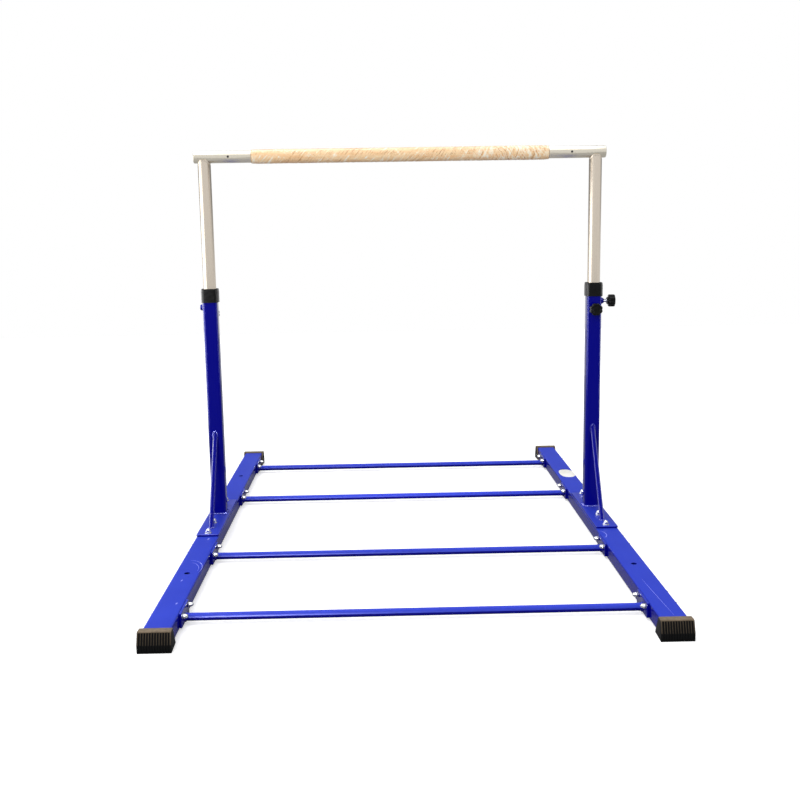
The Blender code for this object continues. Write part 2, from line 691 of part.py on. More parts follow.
def make_riser(stand, side):
    """Adds a riser: a round tube with its height holes, its saddle plug and its guide bush."""
    name, way = side
    radius = RISER_DIAMETER / 2
    bottom = RISER_BOTTOM - BAR_AXIS_HEIGHT
    top = -SADDLE_RISE
    mesh = extruded([circle(radius), circle(RISER_BORE / 2)], top - bottom)
    mesh.transform(Matrix.Translation((0, 0, (top + bottom) / 2)))
    place = (way * POST_X, 0, 0)
    riser = stand.add(f"{name}_riser", mesh, stand.steel, place, stand.carriage)
    bar_radius = END_TUBE_DIAMETER / 2 + GAP
    reach = radius + OVERRUN
    cope = cylinder(bar_radius + SADDLE_BAND, -reach, reach, TUBE_SIDES, ALONG_X)
    near, far = sorted((0, way * reach))
    # The holes lie with a flat upwards, so that no corner falls on an edge of the tube
    flat_up = Matrix.Rotation(math.pi / HEIGHT_HOLE_SIDES, 4, "X")
    drill = cylinder(HEIGHT_HOLE_DIAMETER / 2, near, far, HEIGHT_HOLE_SIDES, flat_up @ ALONG_X)
    places = [Matrix.Translation((0, 0, z - BAR_AXIS_HEIGHT)) for z in height_hole_places()]
    cuts = gathered((cope, [ALONG_Z]), (drill, places))
    stand.cut(riser, cuts, name="cope_and_height_holes")

    stem_radius = RISER_BORE / 2 - GAP
    depth = bar_radius + SADDLE_BAND + SADDLE_PLUG_DEPTH
    band = cylinder(bar_radius + SADDLE_BAND - GAP, -reach, reach, TUBE_SIDES, ALONG_X)
    saddle = stand.add(f"{name}_riser_saddle", band, stand.steel, place, stand.carriage)
    stand.cut(saddle, cylinder(radius, -depth, top), "INTERSECT", name="riser_outline")
    stand.cut(saddle, cylinder(stem_radius, -depth, -bar_radius), "UNION", name="stem")
    seat = cylinder(bar_radius, -reach, reach, TUBE_SIDES, ALONG_X)
    stand.cut(saddle, seat, name="seat")
    bolt_hole = cylinder(BAR_BOLT_DIAMETER / 2 + GAP, -depth - OVERRUN, 0, SCREW_SIDES)
    stand.cut(saddle, bolt_hole, name="bolt_hole")

    bush_radius = RISER_BORE / 2 - GAP
    side_length = UPRIGHT_BORE - 4 * GAP
    foot = extruded(
        [
            rounded_rectangle(side_length, side_length, UPRIGHT_CORNER - UPRIGHT_WALL),
            circle(bush_radius - BUSH_WALL / 2),
        ],
        BUSH_FLANGE,
    )
    foot.transform(Matrix.Translation((0, 0, bottom - GAP - BUSH_FLANGE / 2)))
    bush = stand.add(f"{name}_riser_bush", foot, stand.nylon, place, stand.carriage)
    sleeve = extruded([circle(bush_radius), circle(bush_radius - BUSH_WALL)], BUSH_LENGTH)
    sleeve.transform(Matrix.Translation((0, 0, bottom - GAP - BUSH_FLANGE / 2 + BUSH_LENGTH / 2)))
    stand.cut(bush, sleeve, "UNION", name="sleeve")


def make_bar(stand):
    """Adds the bar: core, end tubes, grip, film, plugs, and its bolts and set screws."""
    carriage = stand.carriage
    core_radius = CORE_DIAMETER / 2
    core_length = BAR_LENGTH - 2 * (PLUG_THICKNESS + GAP)
    outlines = [circle(core_radius, CORE_SIDES), circle(core_radius - CORE_WALL, CORE_SIDES)]
    core = stand.add(
        "bar_core",
        extruded(outlines, core_length, ALONG_X),
        stand.steel,
        parent=carriage,
    )
    bolt_radius = BAR_BOLT_DIAMETER / 2 + GAP
    through = cylinder(bolt_radius, -END_TUBE_DIAMETER, END_TUBE_DIAMETER, SCREW_SIDES)
    places = [Matrix.Translation((way * POST_X, 0, 0)) for way in (-1, 1)]
    stand.cut(core, gathered((through, places)), name="bolt_holes")

    grip_bore = core_radius + GAP
    sleeve = extruded(
        [circle(GRIP_DIAMETER / 2, GRIP_SIDES), circle(grip_bore, CORE_SIDES)], GRIP_LENGTH, ALONG_X
    )
    stand.add("bar_grip", sleeve, stand.beech, parent=carriage)
    film_bore = GRIP_DIAMETER / 2 + GAP
    film_outlines = [circle(film_bore + FILM_THICKNESS, GRIP_SIDES), circle(film_bore, GRIP_SIDES)]
    film = extruded(film_outlines, GRIP_LENGTH - 2 * FILM_INSET, ALONG_X)
    stand.add("grip_film", film, stand.film, parent=carriage)

    tube_middle = GRIP_LENGTH / 2 + GAP + END_TUBE_LENGTH / 2
    screw_x = BAR_LENGTH / 2 - SET_SCREW_INSET
    screw_radius = SET_SCREW_DIAMETER / 2
    for name, way in SIDES:
        outlines = [circle(END_TUBE_DIAMETER / 2), circle(core_radius + GAP, CORE_SIDES)]
        place = (way * tube_middle, 0, 0)
        tube = stand.add(
            f"{name}_bar_end_tube", extruded(outlines, END_TUBE_LENGTH, ALONG_X), stand.steel, place, carriage
        )
        bolt_x = way * POST_X
        flush = END_TUBE_DIAMETER / 2
        head = BAR_BOLT_HEAD_DIAMETER / 2
        shank = BAR_BOLT_DIAMETER / 2
        hole = [
            (0, flush + OVERRUN),
            (head + GAP, flush + OVERRUN),
            (head + GAP, flush - GAP),
            (bolt_radius, flush - GAP - head + shank),
            (bolt_radius, -flush - OVERRUN),
            (0, -flush - OVERRUN),
        ]
        countersunk = turned(hole, SCREW_SIDES)
        stand.cut(tube, countersunk, location=(bolt_x, 0, 0), name="bolt_hole")
        drill = cylinder(screw_radius + GAP, 0, flush + OVERRUN, FASTENER_SIDES, ALONG_Y)
        stand.cut(tube, drill, location=(way * screw_x, 0, 0), name="set_screw_hole")

        plug_radius = core_radius - CORE_WALL - GAP
        profile = [
            (0, PLUG_THICKNESS),
            (END_TUBE_DIAMETER / 2 * PLUG_FACE_SHARE, PLUG_THICKNESS),
            (END_TUBE_DIAMETER / 2, PLUG_EDGE),
            (END_TUBE_DIAMETER / 2, 0),
            (plug_radius, 0),
            (plug_radius, -PLUG_DEPTH),
            (0, -PLUG_DEPTH),
        ]
        turn = Vector((way, 0, 0)).to_track_quat("Z", "Y").to_matrix().to_4x4()
        stand.add(
            f"{name}_bar_end_plug",
            turned(profile, CORE_SIDES, turn),
            stand.steel,
            (way * (BAR_LENGTH / 2 - PLUG_THICKNESS), 0, 0),
            carriage,
        )
        profile = [
            (0, 0),
            (head, 0),
            (shank, shank - head),
            (shank, -BAR_BOLT_LENGTH),
            (0, -BAR_BOLT_LENGTH),
        ]
        stand.add(
            f"{name}_bar_bolt", turned(profile, SCREW_SIDES), stand.zinc, (bolt_x, 0, flush - GAP), carriage
        )

        seat = core_radius + GAP
        screw = cylinder(screw_radius, seat, seat + SET_SCREW_LENGTH, FASTENER_SIDES, ALONG_Y)
        stand.add(f"{name}_set_screw", screw, stand.zinc, (way * screw_x, 0, 0), carriage)


def lobed_outline(radius):
    """Returns the knob's outline: a circle with an even ring of finger flutes."""
    points = []
    count = KNOB_LOBES * KNOB_LOBE_POINTS
    for i in range(count):
        angle = math.tau * i / count
        wave = (1 - math.cos(KNOB_LOBES * angle)) / 2
        reach = radius - KNOB_FLUTE_DEPTH * (1 - wave) ** 2
        points.append((reach * math.cos(angle), reach * math.sin(angle)))
    return points


def make_screw_and_knob(stand, name, seat, direction, boss_length, room, tip):
    """Adds a hand screw and its knob.

    seat is the middle of the post's face, room the gap between the knob and the boss,
    and tip the distance from the post's axis to the screw's end.
    """
    turn = direction.to_track_quat("Z", "Y").to_matrix().to_4x4()
    hub = seat + direction * (GAP + boss_length + room)
    half = UPRIGHT_WIDTH / 2
    hub_distance = half + GAP + boss_length + room
    bore_end = hub_distance + KNOB_BORE_DEPTH - 2 * SCREW_RUN_GAP
    rod = cylinder(SCREW_DIAMETER / 2, tip - half, bore_end - half, SCREW_SIDES, turn)
    stand.add(f"{name}_screw", rod, stand.zinc, seat)

    body = extruded([lobed_outline(KNOB_DIAMETER / 2)], KNOB_THICKNESS - KNOB_HUB_LENGTH)
    body.transform(Matrix.Translation((0, 0, (KNOB_THICKNESS + KNOB_HUB_LENGTH) / 2)))
    body.transform(turn)
    knob = stand.add(f"{name}_knob", body, stand.plastic, hub)
    soften(knob, KNOB_EDGE, 1, KNOB_EDGE_ANGLE)
    collar = cylinder(KNOB_HUB_DIAMETER / 2, 0, KNOB_HUB_LENGTH + OVERRUN, SCREW_SIDES, turn)
    stand.cut(knob, collar, "UNION", name="hub")
    bore = cylinder(SCREW_DIAMETER / 2 + SCREW_RUN_GAP, -OVERRUN, KNOB_BORE_DEPTH, SCREW_SIDES, turn)
    stand.cut(knob, bore, name="bore")


def make_screws(stand):
    """Adds the right post's locating screw and the clamp screw of each post."""
    half = UPRIGHT_WIDTH / 2
    riser = RISER_DIAMETER / 2
    outward = Vector((1, 0, 0))
    seat = Vector((POST_X + half, 0, LOCATING_SCREW_HEIGHT))
    room = LOCATING_TRAVEL + GAP
    make_screw_and_knob(
        stand, "right_locating", seat, outward, LOCATING_BOSS_LENGTH, room, riser + SCREW_TIP_GAP
    )
    for name, way in SIDES:
        towards = Vector((0, -way, 0))
        seat = Vector((way * POST_X, 0, CLAMP_SCREW_HEIGHT)) + towards * half
        room = CLAMP_TIGHTEN_TRAVEL + GAP
        tip = riser + GAP + CLAMP_TIGHTEN_TRAVEL
        make_screw_and_knob(stand, f"{name}_clamp", seat, towards, CLAMP_BOSS_LENGTH, room, tip)


SIDES = (("left", -1), ("right", 1))
ENDS = (("front", -1), ("rear", 1))


def main():
    """Builds the whole training bar."""
    clear_scene()
    stand = Stand()
    for side in SIDES:
        make_beam(stand, side)
        for end in ENDS:
            make_end_cap(stand, side, end)
        make_plate_bolts(stand, side)
        make_post(stand, side)
        make_riser(stand, side)
    for name, offset in crossbar_offsets():
        make_crossbar(stand, name, offset)
    make_bar(stand)
    make_screws(stand)


main()
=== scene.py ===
"""The looks of a junior gymnastics training bar.

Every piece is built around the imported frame, in metres: +X runs along the bar, +Y along
the base beams away from the user, and +Z up. The stand is blue enamelled steel, the
posts telescope on bright steel risers, and the wooden grip is still wound in clear film.
"""

import logging
import math
from collections.abc import Iterable, Sequence
from dataclasses import dataclass
from enum import Enum
from typing import ClassVar

import bmesh
import bpy
from mathutils import Matrix, Vector, noise


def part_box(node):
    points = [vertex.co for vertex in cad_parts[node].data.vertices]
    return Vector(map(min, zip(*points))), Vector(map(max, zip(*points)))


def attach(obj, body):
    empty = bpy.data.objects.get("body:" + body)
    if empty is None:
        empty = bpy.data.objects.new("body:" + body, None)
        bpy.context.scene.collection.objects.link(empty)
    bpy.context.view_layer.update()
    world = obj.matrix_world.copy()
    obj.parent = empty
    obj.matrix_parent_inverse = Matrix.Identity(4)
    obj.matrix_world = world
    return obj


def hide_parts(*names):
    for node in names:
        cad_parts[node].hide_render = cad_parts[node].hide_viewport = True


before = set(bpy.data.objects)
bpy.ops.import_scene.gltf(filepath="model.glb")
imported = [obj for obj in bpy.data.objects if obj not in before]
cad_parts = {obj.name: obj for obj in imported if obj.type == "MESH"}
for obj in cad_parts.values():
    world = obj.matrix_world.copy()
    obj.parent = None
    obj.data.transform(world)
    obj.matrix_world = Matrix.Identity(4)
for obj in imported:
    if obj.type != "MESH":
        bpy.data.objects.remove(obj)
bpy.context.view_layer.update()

LOG = logging.getLogger("training_bar")
MM = 0.001
OVERRUN = 2 * MM
FIT = 0.3 * MM
BASE = "base"
BAR = "bar"

MADE: dict[str, bpy.types.Material] = {}

Pair = tuple[float, float]
Triple = tuple[float, float, float]
Ring = list[Vector]
Shape = bmesh.types.BMesh
Socket = bpy.types.NodeSocket
Colour = Socket | str | tuple


class Where(Enum):
    """A place on the stand that names of its parts start with."""

    def named(self, part: str) -> str:
        """Returns a part's name with this place before it."""
        return f"{self.name.lower()}_{part}"


class Side(Where):
    """The two posts, as the user sees them."""

    LEFT = -1
    RIGHT = 1


class End(Where):
    """The two ends of the base, the front one nearer to the user."""

    FRONT = -1
    REAR = 1


class Along(Enum):
    """The way that a finish's grain runs."""

    X = 0
    Y = 1
    Z = 2


class Job(Enum):
    """What a tool does to the shape that it is used on."""

    CUT = "DIFFERENCE"
    MEET = "INTERSECT"
    JOIN = "UNION"


def linear(code: str) -> tuple[float, float, float, float]:
    """Turns an sRGB colour into the linear one that a shader takes.

    Args:
        code: The colour as six hexadecimal digits.

    Returns:
        The linear red, green and blue, and an alpha of 1.
    """
    channels = [int(code[i : i + 2], 16) / 255 for i in (0, 2, 4)]
    red, green, blue = (c / 12.92 if c <= 0.04045 else ((c + 0.055) / 1.055) ** 2.4 for c in channels)
    return red, green, blue, 1.0


def feed(tree: bpy.types.NodeTree, slot: Socket, value: object) -> None:
    """Links an input to a socket, or sets it to a number or a hex colour.

    Args:
        tree: The node tree.
        slot: The input.
        value: The socket, number or colour.
    """
    if isinstance(value, Socket):
        tree.links.new(value, slot)
    else:
        slot.default_value = linear(value) if isinstance(value, str) else value


def add_node(tree: bpy.types.NodeTree, kind: str, settings: dict | None = None) -> bpy.types.Node:
    """Adds one node to a tree.

    Args:
        tree: The node tree to add to.
        kind: The node's type, without the words that all shader node types start with.
        settings: What feeds an input, by its name or number, or a property's value.

    Returns:
        The new node.
    """
    node = tree.nodes.new(f"ShaderNode{kind}")
    for key, value in (settings or {}).items():
        if isinstance(key, int) or key in node.inputs:
            feed(tree, node.inputs[key], value)
        else:
            setattr(node, key, value)
    return node


@dataclass
class Nodes:
    """A node tree, the shader that it ends in, and the steps that the materials share."""

    tree: bpy.types.NodeTree
    shader: bpy.types.Node

    @classmethod
    def of(cls, owner: bpy.types.Material | bpy.types.World, shader: str) -> "Nodes":
        """Returns the nodes of a new material or world, by the name of its shader."""
        owner.use_nodes = True
        return cls(owner.node_tree, owner.node_tree.nodes[shader])

    def give(self, **inputs: object) -> None:
        """Feeds the shader's inputs, an underline in a name standing for a space."""
        for name, value in inputs.items():
            feed(self.tree, self.shader.inputs[name.replace("_", " ")], value)

    def spots(
        self,
        size: float,
        detail: float,
        stretch: Sequence[float] = (1, 1, 1),
        roughness: float = 0.5,
        distortion: float = 0.0,
    ) -> Socket:
        """Adds cloudy noise that lies still on the object.

        Args:
            size: The size of its spots, in metres.
            detail: How many finer layers it has.
            stretch: How many times longer it is along each axis.
            roughness: How strong the finer layers are.
            distortion: How far the spots are pulled about.

        Returns:
            The noise, from 0 to 1.
        """
        place = add_node(self.tree, "TexCoord").outputs["Object"]
        settings = {"Vector": place, "Scale": tuple(1 / s for s in stretch)}
        spot = add_node(self.tree, "Mapping", settings).outputs["Vector"]
        settings = {"Vector": spot, "Scale": 1 / size, "Detail": detail}
        settings |= {"Roughness": roughness, "Distortion": distortion}
        return add_node(self.tree, "TexNoise", settings).outputs["Fac"]

    def ramp(self, value: Socket, *stops: tuple[float, str | float]) -> Socket:
        """Adds a colour, or a grey value, that changes with another value.

        Args:
            value: The value that chooses among the stops.
            stops: Pairs of a position and a hex colour or a grey level.

        Returns:
            The chosen colour.
        """
        node = add_node(self.tree, "ValToRGB", {"Fac": value})
        elements = node.color_ramp.elements
        while len(elements) < len(stops):
            elements.new(0.5)
        for element, (position, level) in zip(elements, stops):
            element.position = position
            element.color = linear(level) if isinstance(level, str) else (level, level, level, 1)
        return node.outputs["Color"]

    def blend(self, share: Socket, first: Colour, second: Colour) -> Socket:
        """Returns a colour between two, nearer to the second where the share is high."""
        settings = {"data_type": "RGBA", 0: share, 6: first, 7: second}
        return add_node(self.tree, "Mix", settings).outputs[2]

    def fade(self, share: Socket, first: Socket | float, second: Socket | float) -> Socket:
        """Returns a number between two, nearer to the second where the share is high."""
        return add_node(self.tree, "Mix", {0: share, 2: first, 3: second}).outputs[0]

    def reckon(self, operation: str, first: Socket, second: Socket | float) -> Socket:
        """Returns what a Math node makes of two numbers."""
        settings = {"operation": operation, 0: first, 1: second}
        return add_node(self.tree, "Math", settings).outputs[0]

    def ease(self, value: Socket, start: float, stop: float) -> Socket:
        """Returns 0 up to the start and 1 from the stop on, with a smooth step between."""
        settings = {"interpolation_type": "SMOOTHSTEP", "From Min": start, "From Max": stop}
        return add_node(self.tree, "MapRange", {**settings, "Value": value}).outputs[0]

    def upward(self) -> Socket:
        """Returns how far the surface faces up, from -1 to 1."""
        normal = add_node(self.tree, "NewGeometry").outputs["Normal"]
        return add_node(self.tree, "SeparateXYZ", {"Vector": normal}).outputs["Z"]

    def kept(self, name: str) -> Socket:
        """Returns the value that the mesh keeps under a name."""
        return add_node(self.tree, "Attribute", {"attribute_name": name}).outputs["Fac"]

    def ray(self, kind: str) -> Socket:
        """Returns whether the ray is of a kind, such as Glossy."""
        return add_node(self.tree, "LightPath").outputs[f"Is {kind} Ray"]

    def direct(self) -> Socket:
        """Returns whether the picture shows the place directly, or through glass."""
        return self.reckon("MAXIMUM", self.ray("Camera"), self.ray("Transmission"))

    def bump(self, height: Socket, strength: float, distance: float) -> None:
        """Roughens the shader's surface by a height map, in metres."""
        settings = {"Strength": strength, "Distance": distance, "Height": height}
        self.give(Normal=add_node(self.tree, "Bump", settings).outputs["Normal"])


@dataclass(frozen=True)
class Finish:
    """A surface finish: what a material is called, its record slot, and its plain values."""

    name: str
    slot: str
    colour: str
    roughness: float
    metallic: float = 0.0
    specular: float = 0.5
    coat: float = 0.0
    coat_roughness: float = 0.1

    def material(self) -> bpy.types.Material:
        """Makes the finish's material, the first time that it is asked for.

        Returns:
            The material.
        """
        if self.name not in MADE:
            material = bpy.data.materials.new(self.name)
            material.diffuse_color = linear(self.colour)
            nodes = Nodes.of(material, "Principled BSDF")
            nodes.give(Base_Color=self.colour, Roughness=self.roughness, Metallic=self.metallic)
            nodes.give(Specular_IOR_Level=self.specular)
            nodes.give(Coat_Weight=self.coat, Coat_Roughness=self.coat_roughness)
            self.dress(nodes)
            MADE[self.name] = material
        return MADE[self.name]

    def dress(self, nodes: Nodes) -> None:
        """Adds the finish's own pattern, which a plain finish doesn't have."""


@dataclass(frozen=True)
class BlueEnamel(Finish):
    """Stoved enamel on steel: a deep blue gloss, with painted top light that turns it a lighter blue where
    it faces up.
    """

    name: str = "stoved_blue_enamel"
    slot: str = "blue_enamel"
    colour: str = "050684"
    lit_top_colour: str = "2839B2"
    scuff_colour: str = "6C78E0"
    gloss_tint: str = "A9AEFF"
    roughness: float = 0.14
    specular: float = 0.15
    hazed_roughness: float = 0.4
    lit_top_tilts: Pair = (0.5, 0.88)
    patch: float = 120 * MM
    peel: float = 1.6 * MM
    peel_height: float = 0.05 * MM
    scuff_length: float = 60 * MM
    scuff_width: float = 1.5 * MM
    scuff_spacing: float = 12 * MM

    def dress(self, nodes: Nodes) -> None:
        """Adds painted top light mottled by dust patches, rubbed marks and the orange peel.

        Args:
            nodes: The material's nodes.
        """
        # Painted top light: up-facing surfaces blend to the lighter blue, in patches of dust.
        facing = nodes.ramp(nodes.upward(), *zip(self.lit_top_tilts, (0.0, 1.0)))
        dust = nodes.ramp(nodes.spots(self.patch, 3.0), (0.3, 0.86), (0.7, 1.0))
        lit_top_and_dust = nodes.reckon("MULTIPLY", facing, dust)
        base = nodes.blend(lit_top_and_dust, self.colour, self.lit_top_colour)
        stretch = (1, self.scuff_length / self.scuff_width, 1)
        rub = nodes.spots(self.scuff_spacing, 4.0, stretch, roughness=0.65)
        worn = nodes.reckon("MULTIPLY", nodes.ramp(rub, (0.70, 0.0), (0.78, 0.35)), facing)
        rough = nodes.ramp(lit_top_and_dust, (0.0, self.roughness), (1.0, self.hazed_roughness))
        nodes.give(Base_Color=nodes.blend(worn, base, self.scuff_colour), Roughness=rough)
        nodes.give(Specular_Tint=self.gloss_tint)
        nodes.bump(nodes.spots(self.peel, 1.0), 0.12, self.peel_height)


@dataclass(frozen=True)
class PolishedSteel(Finish):
    """Polished stainless tube: bright, with the long fine lines of the polishing belt."""

    name: str = "belt_polished_steel"
    slot: str = "bright_steel"
    colour: str = "DACFC0"
    roughness: float = 0.27
    metallic: float = 1.0
    grain: Along = Along.Z
    line: float = 0.5 * MM
    line_length: float = 90 * MM
    line_depth: float = 0.006 * MM

    def dress(self, nodes: Nodes) -> None:
        """Adds polishing lines along the tube and a slight cloudiness.

        Args:
            nodes: The material's nodes.
        """
        stretch = [1.0, 1.0, 1.0]
        stretch[self.grain.value] = self.line_length / self.line
        lines = nodes.spots(self.line, 2.0, stretch)
        nodes.give(Roughness=nodes.ramp(lines, (0.25, self.roughness - 0.04), (0.75, self.roughness + 0.05)))
        nodes.bump(lines, 0.05, self.line_depth)


@dataclass(frozen=True)
class BrightZinc(Finish):
    """Zinc plate on steel fasteners: silvery, with a soft mottle of the plating bath."""

    name: str = "electroplated_zinc"
    slot: str = "zinc_plate"
    colour: str = "DEE0E4"
    dull_colour: str = "B8BAC2"
    roughness: float = 0.2
    metallic: float = 1.0
    mottle: float = 2.5 * MM

    def dress(self, nodes: Nodes) -> None:
        """Adds the plating's mottle to its colour and its gloss.

        Args:
            nodes: The material's nodes.
        """
        cloud = nodes.spots(self.mottle, 2.0)
        nodes.give(Base_Color=nodes.ramp(cloud, (0.35, self.dull_colour), (0.65, self.colour)))
        nodes.give(Roughness=nodes.ramp(cloud, (0.3, self.roughness + 0.08), (0.7, self.roughness - 0.05)))


@dataclass(frozen=True)
class MouldedRubber(Finish):
    """Black vulcanised rubber from a mould: matte, fine-grained, with pale dust on top."""

    name: str = "moulded_rubber"
    slot: str = "black_rubber"
    colour: str = "060708"
    dust_colour: str = "8C7B66"
    roughness: float = 0.62
    specular: float = 0.15
    grain: float = 0.9 * MM
    grain_height: float = 0.1 * MM
    dust: float = 9 * MM
    sunk: str = "groove_depth"

    def dress(self, nodes: Nodes) -> None:
        """Adds the mould's grain, and dust where the rubber faces up.

        Args:
            nodes: The material's nodes.
        """
        lies = nodes.ramp(nodes.spots(self.dust, 5.0), (0.25, 0.45), (0.7, 0.8))
        flat = nodes.ramp(nodes.upward(), (0.15, 0.0), (0.4, 0.7), (0.99, 1.0))
        proud = nodes.ramp(nodes.kept(self.sunk), (0.1, 1.0), (0.6, 0.0))
        amount = nodes.reckon("MULTIPLY", lies, nodes.reckon("MULTIPLY", flat, proud))
        nodes.give(Base_Color=nodes.blend(amount, self.colour, self.dust_colour))
        nodes.bump(nodes.spots(self.grain, 3.0), 0.3, self.grain_height)


@dataclass(frozen=True)
class MouldedNylon(Finish):
    """Glass-filled nylon from a mould: near black, with a low sheen and a fine grain."""

    name: str = "moulded_black_nylon"
    slot: str = "black_plastic"
    colour: str = "070808"
    light_colour: str = "0E0F10"
    roughness: float = 0.36
    specular: float = 0.12
    grain: float = 0.6 * MM
    grain_height: float = 0.05 * MM
    flow: float = 7 * MM

    def dress(self, nodes: Nodes) -> None:
        """Adds the mould's spark-eroded grain and the faint flow of the filled plastic.

        Args:
            nodes: The material's nodes.
        """
        flow = nodes.spots(self.flow, 3.0)
        nodes.give(Base_Color=nodes.ramp(flow, (0.35, self.colour), (0.7, self.light_colour)))
        nodes.give(Roughness=nodes.ramp(flow, (0.3, self.roughness - 0.06), (0.7, self.roughness + 0.08)))
        nodes.bump(nodes.spots(self.grain, 2.0), 0.25, self.grain_height)


@dataclass(frozen=True)
class Beech(Finish):
    """Turned beech: pale and even, with short darker pore flecks along the grain."""

    name: str = "turned_beech"
    slot: str = "beech"
    colour: str = "D9AE7C"
    dark_colour: str = "C28F58"
    fleck_colour: str = "9C6A3C"
    roughness: float = 0.45
    ring: float = 7 * MM
    fleck: float = 0.8 * MM
    fleck_length: float = 9 * MM

    def grain_colour(self, nodes: Nodes) -> Socket:
        """Adds the wood's soft growth rings, with pore flecks over them.

        Args:
            nodes: The material's nodes.

        Returns:
            The wood's colour.
        """
        rings = nodes.spots(self.ring, 4.0, (14, 1, 1), distortion=0.6)
        base = nodes.ramp(rings, (0.3, self.dark_colour), (0.65, self.colour))
        flecks = nodes.spots(self.fleck, 1.0, (self.fleck_length / self.fleck, 1, 1))
        return nodes.blend(nodes.ramp(flecks, (0.62, 0.0), (0.72, 0.6)), base, self.fleck_colour)

    def dress(self, nodes: Nodes) -> None:
        """Adds the wood's grain."""
        nodes.give(Base_Color=self.grain_colour(nodes))


@dataclass(frozen=True)
class StretchFilm(Beech):
    """Clear polyethylene film on wood: the grain shows, the wrinkles' crests are milky with a painted
    highlight, and their creases are darkened as painted shade.
    """

    name: str = "wound_stretch_film"
    slot: str = "clear_film"
    colour: str = "FFDDAC"
    dark_colour: str = "F6C48E"
    fleck_colour: str = "DDA873"
    milk_and_highlight_colour: str = "FFF6E0"
    crease_shade_colour: str = "A9713F"
    roughness: float = 0.3
    coat: float = 0.3
    coat_roughness: float = 0.15
    crinkle: float = 3.5 * MM
    crinkle_height: float = 0.3 * MM
    height: str = "wrinkle_height"

    def dress(self, nodes: Nodes) -> None:
        """Adds the wood seen through the film, milky crests with a painted highlight, and creases darkened
        as painted shade.

        Args:
            nodes: The material's nodes.
        """
        crest = nodes.kept(self.height)
        crinkle = nodes.spots(self.crinkle, 5.0, (1.8, 1, 1), roughness=0.6, distortion=1.2)
        # Milky film and painted highlight: whitens the crests of the wrinkles.
        milk_and_highlight = nodes.ramp(crest, (0.55, 0.0), (0.85, 1.0))
        white = nodes.reckon("MAXIMUM", milk_and_highlight, nodes.ramp(crinkle, (0.5, 0.0), (0.75, 0.25)))
        # Painted shade: darkens the wood colour in the wrinkles' creases.
        crease = nodes.ramp(crest, (0.03, 0.7), (0.27, 0.0))
        shaded = nodes.blend(crease, self.grain_colour(nodes), self.crease_shade_colour)
        nodes.give(Base_Color=nodes.blend(white, shaded, self.milk_and_highlight_colour))
        nodes.bump(crinkle, 0.5, self.crinkle_height)


@dataclass(frozen=True)
class WhiteVinyl(Finish):
    """A blank sticker of white vinyl: smooth and a little yellowed."""

    name: str = "cut_white_vinyl"
    slot: str = "blue_enamel"
    colour: str = "F4F3EE"
    aged_colour: str = "E9E7DD"
    roughness: float = 0.35
    cloud: float = 25 * MM

    def dress(self, nodes: Nodes) -> None:
        """Adds a faint unevenness to the white."""
        cloud = nodes.spots(self.cloud, 3.0)
        nodes.give(Base_Color=nodes.ramp(cloud, (0.3, self.aged_colour), (0.6, self.colour)))


ENAMEL = BlueEnamel()
WELD = BlueEnamel(name="enamelled_weld", roughness=0.08, hazed_roughness=0.1, specular=0.9)
# Lit copies of the enamel, with painted top light: on the beams it reaches halfway down their sides.
BEAM_LIT_ENAMEL = BlueEnamel(
    name="beam_top_lit_enamel", lit_top_colour="2C40BE", specular=0.05, lit_top_tilts=(-1.2, 0.88)
)
# On the crossbar tubes the painted top light covers all but the undersides.
TUBE_LIT_ENAMEL = BlueEnamel(name="crossbar_top_lit_enamel", lit_top_colour="3444C6", lit_top_tilts=(-0.9, 0.1))
# Pale enamel for the rubbed marks and for the painted edge highlight.
RUBBED_AND_HIGHLIGHT = BlueEnamel(
    name="rubbed_and_highlight_enamel", colour="8088EA", lit_top_colour="8A92F0", scuff_colour="C0C6FF", roughness=0.4
)
UPRIGHT_STEEL = PolishedSteel()
BAR_STEEL = PolishedSteel(name="belt_polished_bar_steel", colour="E6DFCF", grain=Along.X)
ZINC = BrightZinc()
# A darker grey zinc for the grub screws than for the other fasteners.
DARK_ZINC = BrightZinc(name="dark_screw_zinc", colour="4A4A4E", dull_colour="2A2A2E", roughness=0.3)
RUBBER = MouldedRubber()
NYLON = MouldedNylon()
WHITE_NYLON = MouldedNylon(
    name="moulded_white_nylon", slot="white_nylon", colour="D8D8D2", light_colour="E4E4E0"
)
BEECH = Beech()
FILM = StretchFilm()
VINYL = WhiteVinyl()

GLOSSY = bpy.data.collections.new("glossy_pieces")
CROSSBARS = bpy.data.collections.new("glossy_crossbars")
SPARKLING = bpy.data.collections.new("sparkling_pieces")


@dataclass(frozen=True)
class Span:
    """The box that a CAD node fills at rest."""

    low: Vector
    high: Vector

    @classmethod
    def of(cls, node: str) -> "Span":
        """Returns the box of the named node."""
        return cls(*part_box(node))

    @property
    def centre(self) -> Vector:
        """Returns the middle of the box."""
        return (self.low + self.high) / 2

    @property
    def size(self) -> Vector:
        """Returns the lengths of the box's sides."""
        return self.high - self.low


def turns(count: int) -> list[float]:
    """Returns angles that are spread evenly round a circle."""
    return [math.tau * i / count for i in range(count)]


def spoke(reach: float, angle: float, height: float = 0.0) -> Vector:
    """Returns the point at a distance and an angle from the Z axis, at a height."""
    return Vector((reach * math.cos(angle), reach * math.sin(angle), height))


def quarter(centre: Pair, reach: Pair, steps: int) -> list[Pair]:
    """Returns points along a quarter of an ellipse, from its side to its top.

    Args:
        centre: The ellipse's middle.
        reach: Its half-axes, whose signs choose the quarter.
        steps: The number of edges.

    Returns:
        The points, as pairs.
    """
    angles = [math.pi / 2 * i / steps for i in range(steps + 1)]
    return [(centre[0] + reach[0] * math.cos(a), centre[1] + reach[1] * math.sin(a)) for a in angles]


def arc_ring(radius: float, sides: int, height: float = 0.0) -> Ring:
    """Returns a circle of points about Z."""
    return [spoke(radius, angle, height) for angle in turns(sides)]


